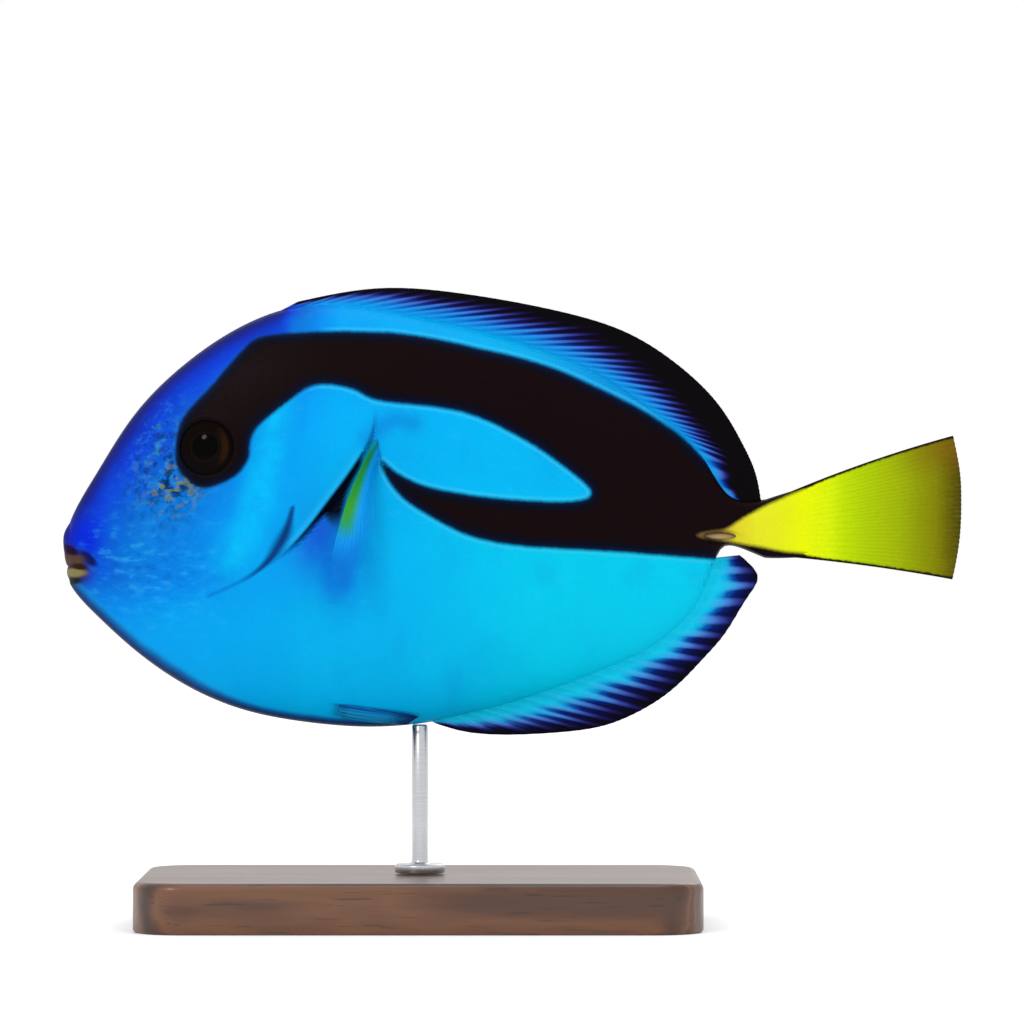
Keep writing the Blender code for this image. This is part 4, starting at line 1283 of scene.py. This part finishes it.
# Skin and scales share these nodes, so their markings meet.
def paintSkin(name, look, shine):
    paint = Paint(name, {"Roughness": 0.46, "Specular IOR Level": 0.05, "IOR": 1.4})
    spot = paint.spot()
    drift = paint.noise(spot, look["drift"], 2.0) - 0.5
    cloud = paint.noise(spot, look["cloud"], 4.0, 0.6) - 0.5
    grain = paint.noise(spot, look["grain"], 3.0, 0.6) - 0.5
    inward = paint.soft(paint.field("front"), 0.5, 9.0)
    # Colour by distance from the head's outline, with painted shade at the outline itself.
    front = paint.field("front") + (drift * 8.0 + cloud * 5.0) * inward
    colour = paint.ramp(front, 0.0, 80.0, look["front"])
    across = paint.node("ShaderNodeSeparateXYZ", {}, {0: spot})
    rearShare = paint.soft(across + drift * 0.02, *look["rearSpan"]) * paint.field("low")
    colour = paint.blend(rearShare, colour, look["rear"])
    colour = paint.blend(paint.field("high"), colour, look["highRear"])
    # painted light on the cheek behind the eye
    colour = paint.blend(paint.field("cheekHighlight") * (0.75 + cloud), colour, look["cheekHighlight"])
    # snout is the nose's own deep blue; shade and patch are painted shade by the gill slit's top and by the
    # pectoral fin, and the next blend is painted shade under the pectoral fin
    for key, share in (("snout", 0.8), ("shade", 0.6), ("patch", 0.95)):
        colour = paint.blend(paint.field(key) * share, colour, look[key])
    colour = paint.blend(paint.field("underFinShade") * (0.75 + cloud), colour, look["underFinShade"])

    # flecks in front of the eye and ripples on the cheek
    flecks = paint.noise(spot, look["fleck"], 4.0, 0.6)
    speck = paint.field("speck") * paint.soft(paint.field("front"), 0.8, 4.5)
    colour = paint.blend(paint.soft(flecks, 0.46, 0.64) * speck * 0.95, colour, look["speckDark"])
    flecks = paint.noise(paint.stretch(spot, (1.0, 1.0, 1.4)), look["paleFleck"], 3.0, 0.6)
    colour = paint.blend(paint.soft(flecks, 0.47, 0.72) * speck * 0.85, colour, look["speckPale"])
    ripple = paint.noise(paint.stretch(spot, (0.8, 1.0, 1.8)), look["ripple"], 3.0, 0.6)
    cheek = paint.field("cheek") * 0.3
    colour = paint.blend(paint.soft(ripple, 0.5, 0.72) * cheek, colour, look["markRim"])
    colour = paint.blend((1.0 - paint.soft(ripple, 0.3, 0.48)) * cheek, colour, look["speckDark"])
    blotch = paint.noise(paint.stretch(spot, (1.0, 1.0, 0.6)), look["blotch"], 2.0, 0.5) - 0.5
    colour = paint.blend(paint.soft(blotch, 0.02, 0.3) * inward * 0.26, colour, look["highRear"])
    colour = paint.blend(paint.soft(ripple, 0.56, 0.8) * inward * 0.12, colour, look["markRim"])

    # painted shade in the crease, a painted highlight on the gill cover's edge, painted shadow in the gill
    # slit and under the pectoral fin, and the belly's dark edge, partly its own colour and partly painted
    # shade
    colour = paint.blend(paint.soft(paint.field("crease"), 0.1, 0.95) * 0.95, colour, look["crease"])
    colour = paint.blend(paint.field("coverEdgeHighlight") * 0.5, colour, look["coverEdgeHighlight"])
    colour = paint.blend(paint.field("slit"), colour, look["slit"])
    rim = paint.field("rim") + cloud * 0.8
    rimShare = 1.0 - paint.soft(rim, 1.8, 3.8)
    colour = paint.blend(rimShare, colour, paint.ramp(rim, 0.0, 3.6, look["belly"]))

    # the dark mark with its light rim, and the flecks under the eye
    mark = paint.field("mark") + grain * 0.35 + cloud * 0.25
    edgeLight = paint.soft(mark, -1.2, -0.7) * (1.0 - paint.soft(mark, -0.6, -0.25))
    edgeLight = edgeLight * paint.soft(front, 24.0, 38.0)
    colour = paint.blend(edgeLight * 0.45, colour, look["markRim"])
    colour = paint.blend(paint.soft(mark, -0.7, 0.3), colour, paint.ramp(mark, -0.5, 2.4, look["mark"]))
    underEye = paint.field("underEye") * (1.0 - paint.soft(mark, -0.3, 0.5))
    bold = paint.noise(paint.stretch(spot, (1.0, 1.0, 1.3)), look["boldFleckSize"], 3.0, 0.6)
    colour = paint.blend(paint.soft(bold, 0.5, 0.6) * underEye * 0.95, colour, look["boldFleck"])
    olive = paint.noise(paint.stretch(spot, (1.0, 1.0, 1.5)), look["oliveSize"], 2.0, 0.5)
    colour = paint.blend(paint.soft(olive, 0.53, 0.62) * underEye * 0.9, colour, look["olive"])

    # yellow wedge of the tail, and the lips
    wedge = paint.field("wedge") + grain * 0.3
    back = across * 1000.0 + fish["halfLength"] + cloud * 1.5
    colour = paint.blend(paint.soft(wedge, -0.6, 0.5), colour, paint.ramp(back, 127.0, 179.6, tailColours))
    # chin is painted shade under the lower lip; the others are the lips' own colours
    for key in ("lipBack", "lips", "upperLip", "lipTop", "chin", "lowerLip", "mouthLine"):
        colour = paint.blend(paint.soft(paint.field(key), 0.15, 0.75), colour, look[key])

    cells = paint.cells(paint.stretch(spot, (1.0, 1.0, 1.25)), shine["cellScale"])
    paint.finish(
        colour, look["value"] + drift * 0.12 + grain * 0.1, 0.44 + cloud * 0.1 + grain * 0.12,
        grain * 0.6 - cells * shine["cellDepth"], shine["strength"], shine["distance"],
    )
    return paint


# Colours from the fin's root at 0 to past its margin, on a ray and in a gap.
dorsalLook = {
    "ray": [
        (0.0, tint(10, 160, 236)), (0.3, tint(30, 158, 236)), (0.55, tint(50, 140, 224)),
        (0.8, tint(64, 108, 204)), (1.0, tint(58, 66, 168)), (1.2, tint(34, 24, 104)),
        (1.4, tint(10, 4, 30)), (1.6, tint(6, 3, 6)),
    ],
    "gap": [
        (0.0, tint(8, 154, 234)), (0.2, tint(6, 138, 222)), (0.42, tint(2, 98, 196)),
        (0.62, tint(0, 54, 152)), (0.82, tint(2, 22, 102)), (1.02, tint(6, 8, 48)),
        (1.25, tint(7, 3, 12)), (1.6, tint(6, 3, 6)),
    ],
    "value": 0.83,
}

analLook = {
    "ray": [
        (0.0, tint(14, 208, 240)), (0.3, tint(22, 202, 240)), (0.55, tint(50, 176, 232)),
        (0.78, tint(70, 132, 214)), (0.98, tint(60, 80, 176)), (1.18, tint(34, 32, 112)),
        (1.4, tint(8, 4, 34)), (1.6, tint(4, 2, 12)),
    ],
    "gap": [
        (0.0, tint(12, 206, 240)), (0.32, tint(12, 202, 240)), (0.48, tint(8, 168, 222)),
        (0.62, tint(2, 84, 176)), (0.78, tint(2, 28, 112)), (1.0, tint(4, 10, 66)),
        (1.26, tint(6, 3, 22)), (1.6, tint(4, 2, 12)),
    ],
    "value": 0.83,
}


# Membrane of the upright fins: pale rays and dark gaps that both run out to a dark margin.
def paintFin(name, look, noseward):
    paint = Paint(name, {"Roughness": 0.48, "Specular IOR Level": 0.05, "IOR": 1.4})
    spot = paint.spot()
    cloud = paint.noise(spot, 300.0, 3.0) - 0.5
    grain = paint.noise(spot, 1600.0, 3.0) - 0.5
    streak = paint.noise(paint.weave(90.0, 2.4), 3.0, 3.0, 0.6) - 0.5
    band = paint.field("band") + streak * 0.2 + cloud * 0.12
    rayColour = paint.ramp(band, 0.0, 1.6, look["ray"])
    gapColour = paint.ramp(band, 0.0, 1.6, look["gap"])
    narrow = 0.26 + paint.soft(band, 0.2, 1.2) * 0.44
    pale = paint.soft(paint.field("line") + streak * 0.6 - narrow, -0.3, 0.5)
    ahead = (1.0 - paint.soft(paint.field("along"), 0.05, 0.3)) * 0.4
    pale = pale + ahead * (1.0 - paint.soft(band, 0.7, 1.1))
    colour = paint.blend(pale, gapColour, rayColour)
    # near the nose the fin takes the skin's front colours, with their painted shade at the head's outline
    if noseward:
        front = paint.field("front") + cloud * 5.0
        noseColour = paint.ramp(front, 0.0, 80.0, skinLook["front"])
        near = (1.0 - paint.soft(front, 5.0, 26.0)) * (1.0 - paint.soft(band, 0.3, 1.0))
        colour = paint.blend(near, colour, noseColour)
    value = look["value"] + grain * 0.14 + cloud * 0.1
    paint.finish(colour, value, 0.46 + grain * 0.12, streak + grain * 0.3, 0.35, 0.00012)
    return paint


tailLook = {
    "gap": tint(112, 124, 2),
    "edge": tint(26, 20, 4),
    "corner": tint(128, 92, 14),
    "pale": tint(236, 240, 84),
    "value": 0.84,
}


# Tail fin: yellow that deepens to olive at the margin, with darker streaks between the rays.
def paintTail(name, look):
    paint = Paint(name, {"Roughness": 0.5, "Specular IOR Level": 0.05, "IOR": 1.4})
    spot = paint.spot()
    grain = paint.noise(spot, 1500.0, 3.0) - 0.5
    reach = paint.field("reach")
    weave = paint.weave(80.0, 3.0)
    streak = paint.noise(weave, 3.0, 4.0, 0.62) - 0.5
    across = paint.node("ShaderNodeSeparateXYZ", {}, {0: spot})
    back = across * 1000.0 + fish["halfLength"] + streak * 5.0 * paint.soft(reach, 0.2, 0.5)
    colour = paint.ramp(back, 127.0, 179.6, tailColours)
    gaps = 1.0 - paint.soft(paint.field("ray") + streak * 0.5, 0.05, 0.5)
    colour = paint.blend(gaps * paint.soft(reach, 0.15, 0.6) * 0.14, colour, look["gap"])
    fleck = paint.soft(paint.noise(weave, 9.0, 2.0, 0.5), 0.58, 0.75) * paint.soft(reach, 0.1, 0.3)
    colour = paint.blend(fleck * 0.22, colour, look["pale"])
    corner = paint.soft(reach, 0.55, 1.0) * (1.0 - paint.soft(paint.field("along"), 0.05, 0.3))
    colour = paint.blend(corner * 0.6, colour, look["corner"])
    edge = paint.field("edge") + grain * 0.5
    width = 1.25 - paint.soft(reach, 0.1, 0.34) * 0.6
    colour = paint.blend(1.0 - paint.soft(edge / width, 0.45, 1.1), colour, look["edge"])
    value = look["value"] + grain * 0.12 + streak * 0.2
    paint.finish(colour, value, 0.48 + grain * 0.12, streak + grain * 0.3, 0.4, 0.00014)
    return paint


pectoralLook = {
    "blade": [
        (0.0, tint(6, 150, 228)), (0.35, tint(6, 152, 230)), (0.6, tint(8, 142, 226)),
        (0.8, tint(6, 122, 214)), (1.0, tint(6, 116, 208)),
    ],
    "gap": tint(4, 92, 196),
    "lead": [
        (0.0, tint(12, 130, 150)), (0.04, tint(22, 130, 80)), (0.22, tint(34, 142, 56)),
        (0.38, tint(56, 152, 44)), (0.5, tint(36, 146, 90)), (0.64, tint(8, 130, 206)),
    ],
}


# Pectoral fin: a clear blue membrane with a yellow-green leading edge, thinner and clearer to
# the rear and at the margin.
def paintPectoral(name, look):
    paint = Paint(name, {"Roughness": 0.45, "Specular IOR Level": 0.08, "IOR": 1.4})
    grain = paint.noise(paint.spot(), 1500.0, 3.0) - 0.5
    streak = paint.noise(paint.weave(60.0, 2.5), 3.0, 3.0, 0.6) - 0.5
    reach = paint.field("reach") + streak * 0.16
    along = paint.field("along") + streak * 0.06
    colour = paint.ramp(reach, 0.0, 1.0, look["blade"])
    gaps = (1.0 - paint.soft(paint.field("ray"), 0.05, 0.5)) * paint.soft(reach, 0.35, 0.8)
    colour = paint.blend(gaps * 0.4, colour, look["gap"])
    lead = (1.0 - paint.soft(along, 0.18, 0.5)) * (1.0 - paint.soft(reach, 0.48, 0.64))
    colour = paint.blend(lead, colour, paint.ramp(reach, 0.0, 0.64, look["lead"]))
    paint.set("Base Color", colour)
    tip = paint.soft(reach, 0.45, 0.98)
    clear = paint.soft(along, 0.2, 0.8) * 0.8 + tip * 0.95 - paint.field("ray") * 0.12
    paint.set("Alpha", paint.soft(1.08 - clear, 0.0, 1.0))
    paint.set("Roughness", 0.42 + grain * 0.12)
    paint.set("Normal", paint.bump(streak + grain * 0.2, 0.3, 0.0001))
    return paint


pelvicLook = {
    "across": [
        (0.0, tint(6, 40, 120)), (0.16, tint(6, 84, 160)), (0.36, tint(14, 132, 186)),
        (1.0, tint(16, 108, 150)),
    ],
    "ray": tint(24, 150, 206),
    "tip": tint(6, 18, 76),
}


# Pelvic fin: pale rays under a dark leading edge, darker at the tip and clear at the root.
def paintPelvic(name, look):
    paint = Paint(name, {"Roughness": 0.45, "Specular IOR Level": 0.05, "IOR": 1.4})
    grain = paint.noise(paint.spot(), 1500.0, 3.0) - 0.5
    reach = paint.field("reach") + grain * 0.2
    along = paint.field("along") + grain * 0.1
    low = paint.ramp(along, 0.0, 1.0, look["across"])
    colour = paint.blend(paint.soft(paint.field("ray"), 0.1, 0.7) * 0.4, low, look["ray"])
    colour = paint.blend(paint.soft(reach, 0.62, 0.98) * 0.9, colour, look["tip"])
    paint.set("Base Color", colour)
    paint.set("Alpha", paint.soft(paint.field("reach"), 0.08, 0.36))
    paint.set("Roughness", 0.42 + grain * 0.12)
    paint.set("Normal", paint.bump(grain, 0.3, 0.0001))
    return paint


eyeLook = {
    "gilt": tint(52, 30, 6),
    "rings": [
        (0.0, tint(1, 1, 1)), (2.6, tint(1, 1, 1)), (2.85, tint(16, 9, 3)), (3.2, tint(8, 3, 2)),
        (4.3, tint(9, 3, 2)), (4.9, tint(5, 2, 2)), (5.3, tint(1, 1, 2)), (6.9, tint(1, 1, 2)),
    ],
}


# Eye: a black pupil, a thin gilt ring that shows only toward the rear as a painted glint, and a
# dark brown iris with radial fibres, under a clear gloss.
def paintEye(name, look):
    paint = Paint(name, {
        "Roughness": 0.3, "Specular IOR Level": 0.0, "Coat Weight": 0.06, "Coat Roughness": 0.09,
    })
    flat = paint.node("ShaderNodeCombineXYZ", {}, {0: paint.field("turnX"), 1: paint.field("turnY")})
    fibre = paint.noise(flat, 1.6, 4.0, 0.7) - 0.5
    ring = paint.field("ring") + fibre * 0.35
    colour = paint.ramp(ring, 0.0, 6.9, look["rings"])
    gilt = paint.soft(paint.field("ring"), 3.0, 3.6) * (1.0 - paint.soft(paint.field("ring"), 4.2, 5.0))
    # painted glint: the gilt shows only toward the rear side of the eye
    glint = paint.soft(paint.field("turnX") * 0.45 + fibre * 1.6, 0.9, 1.9)
    colour = paint.blend(gilt * glint * 0.5, colour, look["gilt"])
    paint.set("Base Color", colour)
    return paint


def paintBlade(name):
    paint = Paint(name, {"Roughness": 0.34, "Specular IOR Level": 0.4})
    spot = paint.spot()
    line = paint.noise(paint.stretch(spot, (0.3, 1.0, 1.0)), 2600.0, 3.0) - 0.5
    colour = paint.ramp(paint.field("ring") + line * 0.25, 0.0, 1.0, [
        (0.0, tint(164, 138, 84)), (0.6, tint(138, 110, 66)), (0.86, tint(88, 66, 40)),
        (1.0, tint(40, 28, 18)),
    ])
    paint.set("Base Color", colour)
    paint.set("Normal", paint.bump(line, 0.3, 0.00008))
    return paint


def paintNostril(name):
    paint = Paint(name, {"Roughness": 0.5, "Specular IOR Level": 0.1})
    grain = paint.noise(paint.spot(), 1800.0, 2.0) - 0.5
    # darker toward the sunk middle: painted shade in the nostril's pit
    colour = paint.ramp(paint.field("rise") + grain * 0.06, -0.3, 0.2, [
        (-0.3, tint(2, 10, 34)), (-0.1, tint(3, 28, 80)), (0.06, tint(8, 62, 170)),
        (0.2, tint(8, 70, 184)),
    ])
    paint.set("Base Color", colour)
    return paint


# Stand: block of dark wood under satin lacquer, and a brushed steel rod.
stand = {
    "length": 112.0, "width": 66.0, "height": 10.0, "corner": 10.0, "chamfer": 1.6,
    "rodBack": 71.4, "rodRadius": 1.6, "flangeRadius": 5.0, "flangeHeight": 1.8, "fillet": 0.8,
    "flangeRound": 0.5, "footCut": 0.15, "topCut": (0.3, 0.25), "rodSides": 64, "gap": 0.3,
    "capShares": (0.97, 0.6, 0.25),
}


def paintWood(name):
    paint = Paint(name, {
        "Roughness": 0.36, "Specular IOR Level": 0.4, "Coat Weight": 0.25, "Coat Roughness": 0.22,
    })
    spot = paint.spot()
    long = paint.stretch(spot, (0.16, 1.0, 1.0))
    figure = paint.noise(long, 70.0, 4.0, 0.55)
    bands = {"wave_type": "BANDS", "bands_direction": "Y"}
    inputs = {"Vector": long, "Scale": 60.0, "Distortion": 7.0, "Detail": 3.0, "Detail Scale": 1.2}
    rings = paint.node("ShaderNodeTexWave", bands, inputs, 1)
    pores = paint.soft(paint.noise(paint.stretch(spot, (0.05, 1.0, 1.0)), 1900.0, 2.0, 0.5), 0.6, 0.72)
    colour = paint.ramp(figure * 0.6 + rings * 0.4, 0.2, 0.8, [
        (0.2, tint(52, 30, 18)), (0.45, tint(84, 50, 30)), (0.62, tint(108, 68, 42)),
        (0.8, tint(70, 42, 26)),
    ])
    colour = paint.blend(pores * 0.55, colour, tint(34, 20, 12))
    paint.set("Base Color", colour)
    paint.set("Roughness", 0.3 + figure * 0.16)
    paint.set("Normal", paint.bump(rings * 0.3 - pores, 0.25, 0.0001))
    return paint


def paintSteel(name):
    paint = Paint(name, {"Metallic": 1.0, "Roughness": 0.3})
    spot = paint.spot()
    brushed = paint.noise(paint.stretch(spot, (0.1, 0.1, 6.0)), 500.0, 3.0) - 0.5
    colour = paint.ramp(brushed, -0.5, 0.5, [(-0.5, tint(178, 180, 184)), (0.5, tint(214, 215, 218))])
    paint.set("Base Color", colour)
    paint.set("Roughness", 0.28 + brushed * 0.2)
    paint.set("Normal", paint.bump(brushed, 0.2, 0.00004))
    return paint


# Stacked closed outline: the same ring of points at several heights, capped by centre points.
def makeStack(name, node, rings, paint):
    rings = np.asarray(rings)
    levels, sides = rings.shape[:2]
    ends = np.stack([rings[0].mean(axis=0), rings[-1].mean(axis=0)])
    points = np.concatenate([rings.reshape(-1, 3), ends]) * fish["mm"]
    numbers = np.arange(levels * sides).reshape(levels, sides)
    after = np.roll(numbers, -1, axis=1)
    low = [(levels * sides, int(b), int(a)) for a, b in zip(numbers[0], after[0])]
    high = [(levels * sides + 1, int(a), int(b)) for a, b in zip(numbers[-1], after[-1])]
    return makeMesh(name, points, ringQuads(numbers), low + high, {}, paint, (node,))


# Base: a rectangle with quarter-circle corners whose top edge turns in as a rounded chamfer.
def makeBase(paint):
    turn = np.linspace(0.0, 0.5 * np.pi, 13)
    levels = [(0.0, 0.5), (0.5, 0.0)]
    bend = np.linspace(0.0, 0.5 * np.pi, 8)
    top, inset = stand["height"], stand["chamfer"]
    levels += [(top - inset + inset * math.sin(t), inset - inset * math.cos(t)) for t in bend]
    rings = []
    for height, inward in levels:
        radius = stand["corner"] - inward
        x, y = [], []
        for corner, (signX, signY) in enumerate(((1, 1), (-1, 1), (-1, -1), (1, -1))):
            angle = turn + corner * 0.5 * np.pi
            x.append(signX * (0.5 * stand["length"] - stand["corner"]) + radius * np.cos(angle))
            y.append(signY * (0.5 * stand["width"] - stand["corner"]) + radius * np.sin(angle))
        x = np.concatenate(x) + stand["rodBack"] - fish["halfLength"]
        y = np.concatenate(y)
        rings.append(np.stack([x, y, np.full(len(x), height)], axis=1))
    rim = rings[-1]
    for share in stand["capShares"]:
        centre = rings[-1].mean(axis=0)
        rings.append(centre + (rim - centre) * (share, share, 1.0))
    return makeStack("stand_base_fine", "stand_base", rings, paint)


# Rod: a lathe profile of flange, fillet and rod, turned round its axis.
def makeRod(paint):
    low = stand["height"] + stand["gap"]
    flangeTop = low + stand["flangeHeight"]
    radius, foot, fillet = stand["rodRadius"], stand["flangeRadius"], stand["fillet"]
    under = belly(np.linspace(stand["rodBack"] - radius, stand["rodBack"] + radius, 9)).min()
    top = fish["floor"] + under - stand["gap"]
    edge, cut = stand["flangeRound"], stand["footCut"]
    topDrop, topInset = stand["topCut"]
    profile = [(low, foot - cut), (low + cut, foot)]
    for t in np.linspace(0.0, 0.5 * np.pi, 7):
        profile.append((flangeTop - edge + edge * math.sin(t), foot - edge + edge * math.cos(t)))
    for t in np.linspace(0.0, 0.5 * np.pi, 7):
        profile.append((flangeTop + fillet - fillet * math.cos(t), radius + fillet - fillet * math.sin(t)))
    profile += [(flangeTop + 6.0, radius), (top - topDrop, radius), (top, radius - topInset)]
    sides = stand["rodSides"]
    turn = np.linspace(0.0, 2.0 * np.pi, sides, endpoint=False)
    middle = stand["rodBack"] - fish["halfLength"]
    rings = []
    for height, reach in profile:
        x, y = middle + reach * np.cos(turn), reach * np.sin(turn)
        rings.append(np.stack([x, y, np.full(sides, height)], axis=1))
    return makeStack("stand_rod_fine", "stand_rod", rings, paint)


skinShine = {"cellScale": 1150.0, "cellDepth": 0.5, "strength": 0.3, "distance": 0.00008}
scaleShine = {"cellScale": 2400.0, "cellDepth": 0.2, "strength": 0.15, "distance": 0.00004}
makeSkin(paintSkin("Blue skin", skinLook, skinShine))
scalePaint = paintSkin("Fine scales", skinLook, scaleShine)
for word, side in (("left", -1), ("right", 1)):
    makeScales("scales_" + word, side, scalePaint)
print("skin and scales done")

makeUprightFin(dorsal, crown, 3, paintFin("Dorsal fin membrane", dorsalLook, True))
makeUprightFin(anal, belly, 4, paintFin("Anal fin membrane", analLook, False))
makeTailFin(paintTail("Yellow tail membrane", tailLook))
pectoralPaint = paintPectoral("Pectoral fin membrane", pectoralLook)
pelvicPaint = paintPelvic("Pelvic fin membrane", pelvicLook)
eyePaint = paintEye("Dark eye", eyeLook)
bladePaint = paintBlade("Ivory blade")
nostrilPaint = paintNostril("Nostril skin")
for word, side in (("left", -1), ("right", 1)):
    makePectoral("pectoral_fin_fine_" + word, "pectoral_fin_" + word, side, pectoralPaint)
    makePelvic("pelvic_fin_fine_" + word, "pelvic_fin_" + word, side, pelvicPaint)
    makeEye("eye_fine_" + word, "eye_" + word, side, eyePaint)
    makeBlade("tail_spine_fine_" + word, "tail_spine_" + word, side, bladePaint)
    makeNostril("nostril_front_" + word, side, *nostrils["front"], nostrilPaint)
    makeNostril("nostril_rear_" + word, side, *nostrils["rear"], nostrilPaint)
print("fins and eyes done")

makeBase(paintWood("Dark walnut"))
makeRod(paintSteel("Brushed steel"))
print("stand done")


stage = {
    "size": 6.0,
    "floor": tint(244, 245, 246),
    "floorGlow": 0.14,
    "world": 1.0,
    "aimHeight": 0.07,
    "camera": 1.2,
    "viewHeight": 82.4,
    "viewWidth": 204.8,
    "sensor": 36.0,
}

# place, size, power and colour of each soft light
lights = {
    "key": ((-0.7, -1.0, 1.0), 0.25, 4.5, (1.0, 0.99, 0.97)),
    "top": ((0.1, 0.1, 1.3), 0.6, 2.5, (1.0, 1.0, 1.0)),
    "rear": ((0.4, 1.2, 0.8), 0.6, 2.0, (1.0, 1.0, 1.0)),
}


# Floor: a flat square sheet of a few faces.
def makeFloor():
    half = 0.5 * stage["size"]
    steps = np.linspace(-half, half, 5)
    x, y = np.meshgrid(steps, steps, indexing="ij")
    points = np.stack([x, y, np.zeros_like(x)], axis=2).reshape(-1, 3)
    mesh = bpy.data.meshes.new("floor")
    mesh.from_pydata(points.tolist(), [], gridQuads(5, 5).tolist())
    paint = Paint("Studio floor", {
        "Roughness": 0.8, "Specular IOR Level": 0.1, "Base Color": stage["floor"],
        "Emission Color": stage["floor"], "Emission Strength": stage["floorGlow"],
    })
    mesh.materials.append(paint.material)
    floor = bpy.data.objects.new("floor", mesh)
    bpy.context.scene.collection.objects.link(floor)


def makeLights():
    world = bpy.data.worlds.new("Studio")
    world.use_nodes = True
    sky = world.node_tree.nodes["Background"]
    sky.inputs["Color"].default_value = (1.0, 1.0, 1.0, 1.0)
    sky.inputs["Strength"].default_value = stage["world"]
    bpy.context.scene.world = world
    aim = Vector((0.0, 0.0, stage["aimHeight"]))
    for name, (spot, size, power, colour) in lights.items():
        lamp = bpy.data.lights.new(name, "AREA")
        lamp.shape = "DISK"
        lamp.size = size
        lamp.energy = power
        lamp.color = colour
        holder = bpy.data.objects.new(name, lamp)
        holder.location = spot
        holder.rotation_euler = (aim - Vector(spot)).to_track_quat("-Z", "Y").to_euler()
        holder.visible_camera = False
        bpy.context.scene.collection.objects.link(holder)


def makeCamera():
    data = bpy.data.cameras.new("camera")
    data.sensor_width = stage["sensor"]
    data.lens = stage["sensor"] * stage["camera"] / (stage["viewWidth"] * fish["mm"])
    camera = bpy.data.objects.new("camera", data)
    camera.location = (0.0, -stage["camera"], stage["viewHeight"] * fish["mm"])
    camera.rotation_euler = (0.5 * math.pi, 0.0, 0.0)
    bpy.context.scene.collection.objects.link(camera)
    bpy.context.scene.camera = camera


makeFloor()
makeLights()
makeCamera()
bpy.context.view_layer.update()
